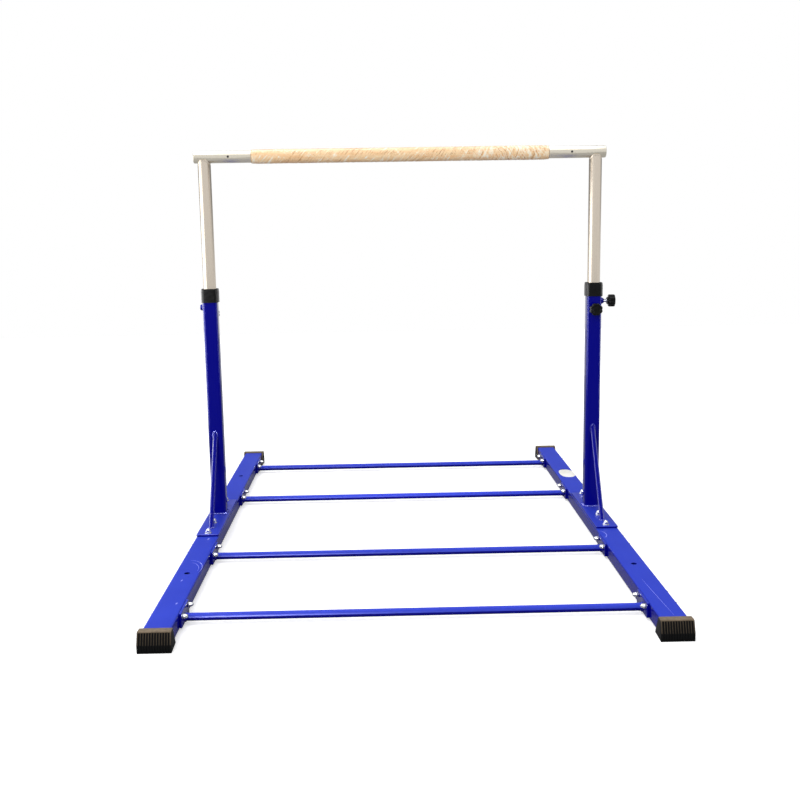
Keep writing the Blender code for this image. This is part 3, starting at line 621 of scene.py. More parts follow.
def rounded_ring(width: float, depth: float, radius: float, steps: int, height: float = 0.0) -> Ring:
    """Draws a rectangle with round corners, about Z.

    Args:
        width: The length along X.
        depth: The length along Y.
        radius: The corners' radius.
        steps: The number of edges in each corner.
        height: Where it lies on Z.

    Returns:
        The points, in order.
    """
    points = []
    for number, (sx, sy) in enumerate(((1, 1), (-1, 1), (-1, -1), (1, -1))):
        centre = Vector((sx * (width / 2 - radius), sy * (depth / 2 - radius), height))
        for step in range(steps + 1):
            points.append(centre + spoke(radius, math.pi / 2 * (number + step / steps)))
    return points


def loft(rings: Sequence[Ring], caps: bool = True, closed: bool = False) -> Shape:
    """Skins rings of equal counts.

    Args:
        rings: The rings, in order.
        caps: Whether the first and the last ring are filled.
        closed: Whether the last ring joins the first, as for a tube with a wall.

    Returns:
        The skinned shape.
    """
    shape = bmesh.new()
    rows = [[shape.verts.new(point) for point in ring] for ring in rings]
    count = len(rows[0])
    pairs = list(zip(rows, rows[1:]))
    if closed:
        pairs.append((rows[-1], rows[0]))
    for low, high in pairs:
        for i in range(count):
            j = (i + 1) % count
            shape.faces.new((low[i], low[j], high[j], high[i]))
    if caps and not closed:
        shape.faces.new(reversed(rows[0]))
        shape.faces.new(rows[-1])
    bmesh.ops.recalc_face_normals(shape, faces=shape.faces)
    return shape


def turned(profile: Sequence[Pair], sides: int = 48) -> Shape:
    """Turns a shape about Z.

    Args:
        profile: Pairs of radius and height, whose ends may lie on the axis.
        sides: The number of sides of the round.

    Returns:
        The turned shape.
    """
    tiny = 1e-7
    shape = loft([arc_ring(max(radius, tiny), sides, height) for radius, height in profile])
    bmesh.ops.remove_doubles(shape, verts=shape.verts, dist=1e-6)
    bmesh.ops.recalc_face_normals(shape, faces=shape.faces)
    return shape


def hollow(profile: Sequence[Pair], sides: int) -> Shape:
    """Returns a ring turned about Z from a closed profile of radii and heights."""
    return loft([arc_ring(radius, sides, height) for radius, height in profile], closed=True)


def round_tube(outer: float, inner: float, low: float, high: float, sides: int) -> Shape:
    """Returns a round tube about Z with a wall."""
    return hollow(((inner, low), (inner, high), (outer, high), (outer, low)), sides)


def rod(radius: float, low: float, high: float, sides: int = 48) -> Shape:
    """Returns a solid round bar about Z, or a prism where it has few sides."""
    return loft([arc_ring(radius, sides, low), arc_ring(radius, sides, high)])


def slab(width: float, depth: float, radius: float, steps: int, low: float, high: float) -> Shape:
    """Returns a block about Z whose upright edges are round."""
    return loft([rounded_ring(width, depth, radius, steps, height) for height in (low, high)])


def block(low: Sequence[float], high: Sequence[float]) -> Shape:
    """Returns a box between two corners, for use in a cut."""
    (x0, y0, z0), (x1, y1, z1) = low, high
    corners = ((x0, y0), (x1, y0), (x1, y1), (x0, y1))
    return loft([[Vector((x, y, z)) for x, y in corners] for z in (z0, z1)])


def moved(shape: Shape, matrix: Matrix) -> Shape:
    """Returns the shape, moved by a matrix that doesn't mirror it."""
    bmesh.ops.transform(shape, verts=shape.verts, matrix=matrix)
    return shape


def turn_to(direction: Sequence[float]) -> Matrix:
    """Returns the rotation that brings +Z to the direction."""
    return Vector(direction).to_track_quat("Z", "Y").to_matrix().to_4x4()


def at(place: Sequence[float], direction: Sequence[float] = (0, 0, 1)) -> Matrix:
    """Returns the matrix that stands a shape at a place, its Z along a direction."""
    return Matrix.Translation(place) @ turn_to(direction)


def gathered(shapes: Iterable[Shape]) -> Shape:
    """Puts shapes together without joining them.

    Args:
        shapes: The shapes, which are used up.

    Returns:
        One shape that holds them all.
    """
    whole = bmesh.new()
    for shape in shapes:
        mesh = bpy.data.meshes.new("part")
        shape.to_mesh(mesh)
        shape.free()
        whole.from_mesh(mesh)
        bpy.data.meshes.remove(mesh)
    return whole


def copied(shape: Shape, places: Iterable[Matrix]) -> Shape:
    """Returns one shape with a copy at each place, and uses the shape up."""
    whole = gathered(moved(shape.copy(), place) for place in places)
    shape.free()
    return whole


def add_object(name: str, data: bpy.types.ID) -> bpy.types.Object:
    """Returns a new object of the scene, made of the data."""
    obj = bpy.data.objects.new(name, data)
    bpy.context.scene.collection.objects.link(obj)
    return obj


def add_shape(name: str, shape: Shape) -> bpy.types.Object:
    """Adds a shape to the scene.

    Args:
        name: The new object's name.
        shape: The shape, which is used up.

    Returns:
        The new object.
    """
    mesh = bpy.data.meshes.new(name)
    shape.to_mesh(mesh)
    shape.free()
    return add_object(name, mesh)


@dataclass(frozen=True)
class Edges:
    """How the edges of a machined or moulded piece are rounded."""

    width: float
    segments: int = 2
    angle: float = 40.0


def worked(shape: Shape, tools: Sequence[tuple[Job, Shape]] = (), edges: Edges | None = None) -> Shape:
    """Cuts a shape, joins others to it, and rounds its edges.

    Args:
        shape: The shape to work on, which is used up.
        tools: Pairs of a job and the shape that does it, which is used up too.
        edges: How the edges are rounded, or None to leave them sharp.

    Returns:
        The worked shape.
    """
    made = [add_shape("work", each) for each in (shape, *(tool for _, tool in tools))]
    for (job, _), tool in zip(tools, made[1:]):
        modifier = made[0].modifiers.new("work", "BOOLEAN")
        modifier.operation = job.value
        modifier.solver = "EXACT"
        modifier.object = tool
    if edges:
        bevel = made[0].modifiers.new("edges", "BEVEL")
        bevel.width = edges.width
        bevel.segments = edges.segments
        bevel.limit_method = "ANGLE"
        bevel.angle_limit = math.radians(edges.angle)
        bevel.harden_normals = False
    bpy.context.view_layer.update()
    graph = bpy.context.evaluated_depsgraph_get()
    result = bmesh.new()
    result.from_mesh(made[0].evaluated_get(graph).to_mesh())
    made[0].evaluated_get(graph).to_mesh_clear()
    for obj in made:
        data = obj.data
        bpy.data.objects.remove(obj, do_unlink=True)
        bpy.data.meshes.remove(data)
    bmesh.ops.remove_doubles(result, verts=result.verts, dist=1e-6)
    return result


def nearest(ring: Ring, point: Vector) -> int:
    """Returns the number of the ring's point that is nearest to another point."""
    return min(range(len(ring)), key=lambda k: (ring[k] - point).length)


def weld_bead(path: Sequence[Vector], radius: float) -> Shape:
    """Lays a weld bead along a closed seam, with the ripples of the torch.

    Args:
        path: Points along the seam, about as far apart as the ripples need.
        radius: The bead's radius.

    Returns:
        The bead.
    """
    sides = 8
    ripple = 2.6 * MM
    swell_share, wobble_share, wobbles_per_metre = 0.13, 0.12, 260
    rings: list[Ring] = []
    run = 0.0
    for i, point in enumerate(path):
        before, after = path[i - 1], path[(i + 1) % len(path)]
        along = (after - before).normalized()
        across = along.orthogonal().normalized()
        other = along.cross(across)
        run += (point - before).length
        wobble = wobble_share * noise.noise(point * wobbles_per_metre)
        swell = radius * (1 + swell_share * math.sin(math.tau * run / ripple) + wobble)
        ring = [point + swell * (math.cos(turn) * across + math.sin(turn) * other) for turn in turns(sides)]
        if rings:
            offset = nearest(ring, rings[-1][0])
            ring = ring[offset:] + ring[:offset]
        rings.append(ring)
    shape = loft(rings, caps=False)
    offset = nearest(rings[0], rings[-1][0])
    shape.verts.ensure_lookup_table()
    finish = list(shape.verts)[-sides:]
    start = list(shape.verts)[:sides]
    start = start[offset:] + start[:offset]
    for k in range(sides):
        after = (k + 1) % sides
        shape.faces.new((finish[k], finish[after], start[after], start[k]))
    bmesh.ops.recalc_face_normals(shape, faces=shape.faces)
    return shape


def ellipse_path(
    centre: Sequence[float], first: Sequence[float], second: Sequence[float], count: int = 40
) -> list[Vector]:
    """Draws an ellipse.

    Args:
        centre: Its middle.
        first: One half-axis, as a vector.
        second: The other half-axis.
        count: The number of points.

    Returns:
        The points, in order.
    """
    middle, one, two = Vector(centre), Vector(first), Vector(second)
    return [middle + math.cos(turn) * one + math.sin(turn) * two for turn in turns(count)]


def place(
    name: str, shape: Shape, finish: Finish, body: str, replaced: Sequence[str] = ()
) -> bpy.types.Object:
    """Makes a piece of a finished shape, and lets it ride on a CAD body.

    Args:
        name: The piece's name.
        shape: The shape, in the frame's own place, which is used up.
        finish: The finish that it wears.
        body: The body that it rides on.
        replaced: The CAD nodes that it stands for.

    Returns:
        The new piece.
    """
    piece = add_shape(name, shape)
    piece.data.materials.append(finish.material())
    piece.data.shade_smooth()
    piece.data.set_sharp_from_angle(angle=math.radians(38))
    if isinstance(finish, (BlueEnamel, MouldedNylon)):
        GLOSSY.objects.link(piece)
    if finish in (WELD, ZINC):
        SPARKLING.objects.link(piece)
    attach(piece, body)
    if replaced:
        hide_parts(*replaced)
    LOG.info("%s: %d faces on %s", name, len(piece.data.polygons), body)
    return piece


def keep(piece: bpy.types.Object, name: str, values: Sequence[float]) -> None:
    """Keeps a value for each point of a piece, which its material reads by name."""
    piece.data.attributes.new(name, "FLOAT", "POINT").data.foreach_set("value", values)


@dataclass
class Assembly:
    """A group of pieces on one side of the stand, which ride on one body."""

    body: ClassVar[str] = BASE
    side: Side

    def span(self, part: str) -> Span:
        """Returns the box of a node on this side."""
        return Span.of(self.side.named(part))

    def add(self, piece: str, shape: Shape, finish: Finish, *nodes: str) -> bpy.types.Object:
        """Returns a new piece on this side, which stands for nodes of this side."""
        stood_for = [self.side.named(node) for node in nodes]
        return place(self.side.named(piece), shape, finish, self.body, stood_for)


@dataclass(frozen=True)
class DomeNut:
    """A domed nut on a flat washer, and the low head of its bolt."""

    across_flats: float = 13 * MM
    hex_height: float = 6.5 * MM
    height: float = 14 * MM
    dome_share: float = 0.94
    chamfer: float = 0.7 * MM
    slack: float = 0.1 * MM
    washer_radius: float = 8.2 * MM
    washer_height: float = 1.4 * MM
    washer_edge: float = 0.3 * MM
    head_radius: float = 8 * MM
    head_height: float = 2.4 * MM
    head_rim: float = 0.6 * MM
    sides: int = 36

    def nut(self) -> Shape:
        """Builds the nut with its washer.

        Returns:
            The nut, standing on Z = 0.
        """
        flat = self.across_flats / 2
        corner = self.across_flats / math.sqrt(3)
        dome = flat * self.dome_share
        base = self.washer_height
        top = base + self.hex_height
        start = base + 1 * MM
        bevel = 0.2 * MM
        lathe = [
            (0, base - OVERRUN),
            (flat, base - OVERRUN),
            (flat + self.slack, base),
            (corner + self.slack, base + self.chamfer),
            (corner + self.slack, top - self.chamfer),
            (flat - bevel, top),
            (0, top),
        ]
        crown = [(0, start), (dome, start), *quarter((0, top), (dome, self.height - top), 7)]
        tools = [(Job.MEET, turned(lathe, self.sides)), (Job.JOIN, turned(crown, self.sides))]
        body = worked(rod(corner, base, top, 6), tools, Edges(0.15 * MM, 1, 25))
        rim, edge = self.washer_radius, self.washer_edge
        washer = [
            (0, 0),
            (rim - bevel, 0),
            (rim, edge),
            (rim, base - edge),
            (rim - edge, base),
            (0, base),
        ]
        return gathered([body, turned(washer, self.sides)])

    def head(self) -> Shape:
        """Returns the bolt's low domed head, its seat on Z = 0 and its crown below."""
        crown = quarter((0, -self.head_rim), (self.head_radius, self.head_rim - self.head_height), 6)
        return turned([*reversed(crown), (self.head_radius, 0), (0, 0)], 32)


@dataclass
class BaseBeam(Assembly):
    """A base beam: a rectangular tube with two round holes in its top."""

    wall: float = 2 * MM
    corner: float = 5 * MM
    corner_steps: int = 6
    hole_radius: float = 7.5 * MM
    hole_offset: float = 530 * MM

    def build(self) -> None:
        """Builds and dresses the beam."""
        span = self.span("base_beam")
        size, centre = span.size, span.centre
        half, top = size.y / 2, span.high.z
        outer = rounded_ring(size.x, size.z, self.corner, self.corner_steps)
        inner_size = [edge - 2 * self.wall for edge in (size.x, size.z)]
        inner = rounded_ring(*inner_size, self.corner - self.wall, self.corner_steps)
        rings = [
            [Vector((p.x, y, p.y)) for p in ring]
            for ring, y in ((inner, -half), (inner, half), (outer, half), (outer, -half))
        ]
        tube = moved(loft(rings, closed=True), Matrix.Translation(centre))
        drill = rod(self.hole_radius, top - self.wall - OVERRUN, top + OVERRUN, 40)
        shifts = [(centre.x, centre.y + end.value * self.hole_offset, 0) for end in End]
        tube = worked(tube, [(Job.CUT, copied(drill, map(Matrix.Translation, shifts)))])
        self.add("beam", tube, BEAM_LIT_ENAMEL, "base_beam")


@dataclass
class EndCap(Assembly):
    """A rubber cap over a beam's end, with a ribbed, sloping nose."""

    end: End
    floor: float = 4 * MM
    wall: float = 3.5 * MM
    nose: float = 12 * MM
    knee: float = 19 * MM
    slope: float = 10 * MM
    top_depth: float = 31 * MM
    foot_depth: float = 60 * MM
    foot_edge: float = 1.2 * MM
    crisp_edge: float = 0.8 * MM
    flare: float = 2.5 * MM
    ribs: int = 13
    groove_depth: float = 1.8 * MM
    groove_share: float = 0.66
    lip: float = 0.45 * MM
    lip_sink: float = 0.18
    side_edge: float = 1.2 * MM
    land: float = 3.2 * MM
    fillet: float = 1.8 * MM

    def profile(self, height: float, sink: float) -> list[Pair]:
        """Draws the cap's side outline.

        Args:
            height: The cap's height.
            sink: How far the nose's face is let in, as at the bottom of a groove.

        Returns:
            Pairs of depth from the nose and height.
        """
        slope = Vector((self.slope, height - self.knee)).normalized()
        inward = Vector((slope.y, -slope.x)) * sink
        crest = Vector((self.slope, height))
        land = crest - slope * self.land
        foot, crisp = self.foot_edge, self.crisp_edge
        return [
            (foot, 0.0),
            (foot * 0.3 + sink, foot * 0.3),
            (sink, foot),
            (sink, self.knee * 0.5),
            (sink, self.knee - 1 * MM),
            tuple(Vector((0.25 * MM, self.knee + 0.6 * MM)) + inward),
            tuple(land - slope * 1.2 * MM + inward),
            tuple(land),
            *self.corner(crest, -slope, Vector((1, 0))),
            (self.top_depth * 0.6, height),
            (self.top_depth - crisp, height),
            (self.top_depth, height - crisp),
            (self.foot_depth, crisp),
            (self.foot_depth - crisp, 0.0),
        ]

    def corner(self, point: Vector, back: Vector, ahead: Vector) -> list[Pair]:
        """Returns a rounded corner between two directions, as three points."""
        start, finish = point + back * self.fillet, point + ahead * self.fillet
        return [tuple(start), tuple((start + finish + point) / 3), tuple(finish)]

    def stations(self, half: float) -> list[Triple]:
        """Finds where the outlines stand that the cap is skinned over.

        Args:
            half: Half of the cap's width.

        Returns:
            For each outline its place across the cap, how deep its nose is let in, from 0
            to 1, and how much smaller it is drawn, to round the cap's sides.
        """
        pitch = 2 * half / self.ribs
        groove = pitch * self.groove_share
        found: list[Pair] = []
        for i in range(self.ribs):
            left = -half + i * pitch + (groove / 2 if i else 0)
            right = -half + (i + 1) * pitch - (groove / 2 if i < self.ribs - 1 else 0)
            if i:
                found += [(left - self.lip, 1.0), (left - self.lip * 0.1, self.lip_sink)]
            found += [(left + self.lip * 0.4, 0.0), (right - self.lip * 0.4, 0.0)]
            if i < self.ribs - 1:
                found += [(right + self.lip * 0.1, self.lip_sink), (right + self.lip, 1.0)]
        edge = self.side_edge
        body = [(x, sink, 0.0) for x, sink in found if abs(x) < half - edge]
        ends = [(-half, 0.0, edge), (-half + edge * 0.3, 0.0, edge * 0.3), (-half + edge, 0.0, 0.0)]
        return ends + body + [(-x, sink, inset) for x, sink, inset in reversed(ends)]

    def outline(self, station: Triple, half: float, height: float) -> Ring:
        """Draws one of the outlines that the cap is skinned over.

        Args:
            station: The outline's place, sink and inset.
            half: Half of the cap's width.
            height: The cap's height.

        Returns:
            The points, in order.
        """
        x, sink, inset = station
        middle_y, middle_z = self.foot_depth / 2, height / 2
        shrink_y, shrink_z = 1 - inset / middle_y, 1 - inset / middle_z
        ring = []
        for y, z in self.profile(height, sink * self.groove_depth):
            spread = 1 + (1 - y / self.foot_depth) * self.flare / half
            near = middle_y + (y - middle_y) * shrink_y
            ring.append(Vector((x * spread, near, middle_z + (z - middle_z) * shrink_z)))
        return ring

    def build(self) -> None:
        """Builds and dresses the cap."""
        node = self.end.named("end_cap")
        span = self.span(node)
        height = span.size.z
        half = span.size.x / 2 - self.flare
        shape = loft([self.outline(station, half, height) for station in self.stations(half)])
        bore = half - self.wall
        low, high = (-bore, self.nose, self.floor), (bore, self.foot_depth + OVERRUN, height - self.wall)
        shape = worked(shape, [(Job.CUT, block(low, high))])
        depths = [self.sunk(vert.co, height) for vert in shape.verts]
        front = self.end is End.FRONT
        shift = Matrix.Translation((span.centre.x, span.low.y if front else span.high.y, 0))
        shape = moved(shape, shift @ Matrix.Rotation(0 if front else math.pi, 4, "Z"))
        keep(self.add(self.end.named("foot"), shape, RUBBER, node), RUBBER.sunk, depths)

    def sunk(self, point: Vector, height: float) -> float:
        """Finds how deep in a groove a point of the nose lies.

        Args:
            point: The point, before the cap is moved to its place.
            height: The cap's height.

        Returns:
            The depth, from 0 on a rib to 1 at a groove's bottom.
        """
        if point.y > self.nose or point.z > height - self.land - 1 * MM:
            return 0.0
        slope = Vector((self.slope, height - self.knee)).normalized()
        depth = point.y
        if point.z > self.knee:
            depth = point.y * slope.y - (point.z - self.knee) * slope.x
        return min(1.0, max(0.0, depth / self.groove_depth))


@dataclass
class RubbedMarkAndHighlight:
    """A mark rubbed into the enamel of a beam's top, or the painted highlight along a plate's edge: a thin
    line, straight or bent.
    """

    name: str
    path: tuple[Pair, ...]
    width: float = 1.6 * MM
    proud: float = 0.15 * MM
    under: str = "left_base_beam"

    def build(self) -> None:
        """Builds the mark as a thin ribbon that tapers at both ends."""
        top = Span.of(self.under).high.z + self.proud
        points = [Vector((x, y, top)) for x, y in self.path]
        last = len(points) - 1
        rings = []
        for i, point in enumerate(points):
            ahead = points[min(i + 1, last)] - points[max(i - 1, 0)]
            aside = Vector((-ahead.y, ahead.x, 0)).normalized()
            foot = aside * (self.width / 2 * math.sin(math.pi * (0.08 + 0.84 * i / last)))
            crest = foot * 0.8
            low = point - Vector((0, 0, self.proud))
            rings.append([low - foot, low + foot, point + crest, point - crest])
        place(self.name, loft(rings), RUBBED_AND_HIGHLIGHT, BASE)


@dataclass
class Crossbar:
    """A crossbar: a thin tube welded to a bolted flange at each end."""

    name: str
    radius: float = 9.5 * MM
    wall: float = 1.5 * MM
    axis_height: float = 16.8 * MM
    flange_length: float = 98 * MM
    flange_height: float = 37 * MM
    flange_thickness: float = 5 * MM
    flange_drop: float = 1 * MM
    flange_corner: float = 4 * MM
    flange_edge: float = 0.5 * MM
    weld_radius: float = 2.1 * MM
    weld_lift: float = 0.4 * MM
    bolt_spacing: float = 76 * MM
    bolt_drop: float = 11 * MM
    nut: DomeNut = DomeNut(across_flats=11 * MM, hex_height=5.5 * MM, washer_radius=6.4 * MM)

    def build(self) -> None:
        """Builds the tube, its flanges, the welds and the bolts."""
        node = f"{self.name}_crossbar"
        y = Span.of(node).centre.y
        thick, reach = self.flange_thickness, self.radius + self.weld_lift
        beams = {side: Span.of(side.named("base_beam")) for side in Side}
        top = beams[Side.LEFT].high.z
        inner = {
            Side.LEFT: beams[Side.LEFT].high.x + FIT + thick,
            Side.RIGHT: beams[Side.RIGHT].low.x - FIT - thick,
        }
        low, high = inner[Side.LEFT] - thick / 2, inner[Side.RIGHT] + thick / 2
        tube = round_tube(self.radius, self.radius - self.wall, low, high, 40)
        tube = moved(tube, at((0, y, self.axis_height), (1, 0, 0)))
        CROSSBARS.objects.link(place(f"{self.name}_tube", tube, TUBE_LIT_ENAMEL, BASE, [node]))
        middle = top - self.flange_drop - self.flange_height / 2
        plate = rounded_ring(self.flange_length, self.flange_height, self.flange_corner, 5)
        flanges, welds, nuts, heads = [], [], [], []
        for side, x in inner.items():
            inward = -side.value
            rings = [
                [Vector((x + shift, y + p.x, middle + p.y)) for p in plate] for shift in (0, -inward * thick)
            ]
            flanges.append(worked(loft(rings), edges=Edges(self.flange_edge)))
            seam = (x + inward * self.weld_lift, y, self.axis_height)
            welds.append(weld_bead(ellipse_path(seam, (0, reach, 0), (0, 0, reach)), self.weld_radius))
            outer = beams[side].low.x if side is Side.LEFT else beams[side].high.x
            for end in End:
                bolt = (y + end.value * self.bolt_spacing / 2, top - self.bolt_drop)
                nuts.append(moved(self.nut.nut(), at((x, *bolt), (inward, 0, 0))))
                heads.append(moved(self.nut.head(), at((outer - inward * FIT, *bolt), (inward, 0, 0))))
        place(f"{self.name}_flanges", gathered(flanges), ENAMEL, BASE)
        place(f"{self.name}_flange_welds", gathered(welds), WELD, BASE)
        place(f"{self.name}_nuts", gathered(nuts), ZINC, BASE)
        place(f"{self.name}_bolt_heads", gathered(heads), ZINC, BASE)


@dataclass
class Post(Assembly):
    """A post: base plate, square upright, braces, bosses, welds and the collar."""

    plate_corner: float = 6 * MM
    plate_edge: float = 1.2 * MM
    tube_corner: float = 9 * MM
    corner_steps: int = 7
    wall: float = 2 * MM
    brace_radius: float = 7 * MM
    brace_feet: Pair = (-174 * MM, 90 * MM)
    brace_rise: float = 246 * MM
    boss_radius: float = 10 * MM
    boss_nose_radius: float = 7.2 * MM
    screw_radius: float = 5 * MM
    screw_gap: float = 0.4 * MM
    bolts: tuple[float, ...] = (-227 * MM, -121 * MM, 132 * MM)
    collar_roof: float = 4 * MM
    collar_edge: float = 1.6 * MM
    collar_cheek: float = 9 * MM
    tube_weld: float = 3.2 * MM
    brace_welds: Pair = (2.8 * MM, 2.6 * MM)
    boss_weld: float = 1.3 * MM
    weld_step: float = 0.8 * MM
    weld_lift: float = 0.4 * MM
    nut: DomeNut = DomeNut(washer_radius=10 * MM, washer_height=2 * MM)

    def build(self) -> None:
        """Builds the post from the bottom up."""
        self.build_plate()
        self.build_upright()
        for end, foot in zip(End, self.brace_feet):
            self.build_brace(end, foot)
        self.build_bosses()
        self.build_collar()

    def build_plate(self) -> None:
        """Builds the base plate with its bolts."""
        span, axis = self.span("base_plate"), self.span("upright").centre
        half = span.size.z / 2
        plate = slab(span.size.x, span.size.y, self.plate_corner, 6, -half, half)
        plate = worked(moved(plate, Matrix.Translation(span.centre)), edges=Edges(self.plate_edge))
        self.add("plate", plate, ENAMEL, "base_plate")
        under = self.span("base_beam").low.z - FIT
        nuts = [moved(self.nut.nut(), at((axis.x, axis.y + y, span.high.z))) for y in self.bolts]
        heads = [moved(self.nut.head(), at((axis.x, axis.y + y, under))) for y in self.bolts]
        nodes = [f"plate_bolt_{i + 1}" for i in range(len(self.bolts))]
        self.add("plate_nuts", gathered(nuts), ZINC, *nodes)
        self.add("plate_bolt_heads", gathered(heads), ZINC)

    def build_upright(self) -> None:
        """Builds the square tube and the weld round its foot."""
        span = self.span("upright")
        size, centre = span.size, span.centre
        low, high = span.low.z, span.high.z
        corner, steps = self.tube_corner, self.corner_steps
        bore = size.x - 2 * self.wall
        inner = [rounded_ring(bore, bore, corner - self.wall, steps, z) for z in (low, high)]
        outer = [rounded_ring(size.x, size.y, corner, steps, z) for z in (high, low)]
        stand = Matrix.Translation((centre.x, centre.y, 0))
        holes = []
        for direction, z in self.screw_places():
            hole = rod(self.screw_radius + self.screw_gap, 0.25 * size.x, 0.5 * size.x + OVERRUN, 32)
            holes.append(moved(hole, at((centre.x, centre.y, z), direction)))
        tube = moved(loft([*inner, *outer], closed=True), stand)
        tube = worked(tube, [(Job.CUT, gathered(holes))])
        self.add("upright_tube", tube, ENAMEL, "upright")
        grow = 1 * MM
        seam = rounded_ring(size.x + grow, size.y + grow, corner, 10, low + FIT)
        foot = moved(weld_bead(self.divided(seam, self.weld_step), self.tube_weld), stand)
        self.add("upright_weld", foot, WELD)

    def divided(self, ring: Ring, step: float) -> Ring:
        """Divides a ring's edges.

        Args:
            ring: The ring, which is closed.
            step: How far apart its points may be.

        Returns:
            The ring with more points.
        """
        points = []
        for start, finish in zip(ring, ring[1:] + ring[:1]):
            count = max(1, math.ceil((finish - start).length / step))
            points += [start.lerp(finish, i / count) for i in range(count)]
        return points

    def screw_places(self) -> list[tuple[Triple, float]]:
        """Returns the direction and the height of the locating and the clamp boss."""
        directions = ((self.side.value, 0, 0), (0, -self.side.value, 0))
        heights = [self.span(label).centre.z for label in ("locating_boss", "clamp_boss")]
        return list(zip(directions, heights))

    def build_brace(self, end: End, reach: float) -> None:
        """Builds a brace with its welds.

        Args:
            end: The side of the post that it stands on.
            reach: The place of its foot along the beam, from the post's axis.
        """
        upright = self.span("upright")
        way = end.value
        face = upright.size.y / 2
        x, y, z = upright.centre.x, upright.centre.y, self.span("base_plate").high.z
        foot = Vector((x, y + reach, z))
        top = Vector((x, y + way * face, z + self.brace_rise))
        direction = (top - foot).normalized()
        spare, big = 40 * MM, 400 * MM
        bar = rod(self.brace_radius, -spare, (top - foot).length + spare, 32)
        floor = block((x - big, y - big, z - big), (x + big, y + big, z + FIT))
        near, far = sorted((y + way * (face + FIT), y - way * big))
        post = block((x - big, near, z - big), (x + big, far, z + 2 * big))
        bar = worked(moved(bar, at(foot, direction)), [(Job.CUT, floor), (Job.CUT, post)])
        label = end.named("brace")
        self.add(f"{label}_rod", bar, ENAMEL, label)
        radius, lift = self.brace_radius + FIT, self.weld_lift
        side = (radius, 0, 0)
        seams = (
            ellipse_path(foot + Vector((0, 0, lift)), side, (0, radius / direction.z, 0), 48),
            ellipse_path(top + Vector((0, way * lift, 0)), side, (0, 0, radius / abs(direction.y)), 60),
        )
        welds = gathered([weld_bead(seam, size) for seam, size in zip(seams, self.brace_welds)])
        self.add(f"{label}_welds", welds, WELD)

    def build_bosses(self) -> None:
        """Builds the two threaded bosses with their welds."""
        upright = self.span("upright")
        middle, half = upright.centre, upright.size.x / 2
        bore, nose = self.screw_radius + 0.35 * MM, self.boss_nose_radius
        edge = 0.5 * MM
        for (direction, z), label in zip(self.screw_places(), ("locating_boss", "clamp_boss")):
            length = min(self.span(label).size)
            profile = [
                (bore, 0),
                (self.boss_radius, 0),
                (self.boss_radius, length * 0.3),
                (nose + edge, length - 0.6 * MM),
                (nose, length - 0.15 * MM),
                (nose - edge, length),
                (bore + edge, length),
                (bore, length - edge),
            ]
            seat = at(Vector((middle.x, middle.y, z)) + Vector(direction) * (half + FIT), direction)
            shape = moved(hollow(profile, 40), seat)
            self.add(f"{label}_turning", shape, ENAMEL, label)
            bead = weld_bead(arc_ring(self.boss_radius + 0.2 * MM, 48, 0.1 * MM), self.boss_weld)
            self.add(f"{label}_weld", moved(bead, seat), WELD)

    def build_collar(self) -> None:
        """Builds the collar on the upright's top."""
        span = self.span("collar")
        size, centre = span.size, span.centre
        low, high = span.low.z, span.high.z
        corner, steps = self.tube_corner + 2 * MM, self.corner_steps
        edge = self.collar_edge
        insets = (
            (0.8 * MM, low),
            (0, low + 0.5 * MM),
            (0, high - self.collar_cheek),
            (1.2 * MM, high - edge * 1.2),
            (1.8 * MM, high - edge * 0.5),
            (4 * MM, high),
        )
        shape = loft([rounded_ring(size.x - inset, size.y - inset, corner, steps, z) for inset, z in insets])
        skirt = self.span("upright").size.x + 2 * FIT
        pocket = slab(skirt, skirt, self.tube_corner, steps, low - OVERRUN, high - self.collar_roof)
        hole = rod(self.span("riser").size.x / 2 + FIT, low, high + OVERRUN, 64)
        shape = worked(shape, [(Job.CUT, pocket), (Job.CUT, hole)], Edges(0.3 * MM, 1, 50))
        shape = moved(shape, Matrix.Translation((centre.x, centre.y, 0)))
        self.add("collar_cap", shape, NYLON, "collar")


@dataclass
class Riser(Assembly):
    """A polished riser with its height holes, and the saddle that carries the bar."""

    body: ClassVar[str] = BAR
    wall: float = 2 * MM
    saddle_band: float = 4.6 * MM
    saddle_rise: float = 8 * MM
    saddle_depth: float = 60 * MM
    hole_radius: float = 6 * MM
    hole_pitch: float = 50 * MM
    first_hole: float = 338 * MM
    holes: int = 12
    sides: int = 72

    def build(self) -> None:
        """Builds the riser's tube and the saddle."""
        span, bar = self.span("riser"), self.span("bar_end_tube")
        radius, seat_radius = span.size.x / 2, bar.size.z / 2 + FIT
        band_radius = seat_radius + self.saddle_band
        x, y, z = span.centre.x, span.centre.y, bar.centre.z
        top, reach = z - self.saddle_rise, radius + OVERRUN
        stand, across = Matrix.Translation((x, y, 0)), at((x, y, z), (1, 0, 0))
        tube = moved(round_tube(radius, radius - self.wall, span.low.z, top, self.sides), stand)
        cope = moved(rod(band_radius, -reach, reach, self.sides), across)
        drill = rod(self.hole_radius, *sorted((0, self.side.value * reach)), 32)
        heights = [self.first_hole + i * self.hole_pitch for i in range(self.holes)]
        holes = copied(drill, [at((x, y, height), (1, 0, 0)) for height in heights])
        tube = worked(tube, [(Job.CUT, cope), (Job.CUT, holes)], Edges(0.35 * MM, 2, 55))
        self.add("riser_tube", tube, UPRIGHT_STEEL, "riser")
        band = moved(rod(band_radius - FIT, -reach, reach, self.sides), across)
        outline = moved(rod(radius - 0.15 * MM, z - self.saddle_depth, top, self.sides), stand)
        seat = moved(rod(seat_radius, -reach, reach, self.sides), across)
        saddle = worked(band, [(Job.MEET, outline), (Job.CUT, seat)], Edges(0.3 * MM, 2, 50))
        self.add("saddle", saddle, UPRIGHT_STEEL, "riser_saddle")


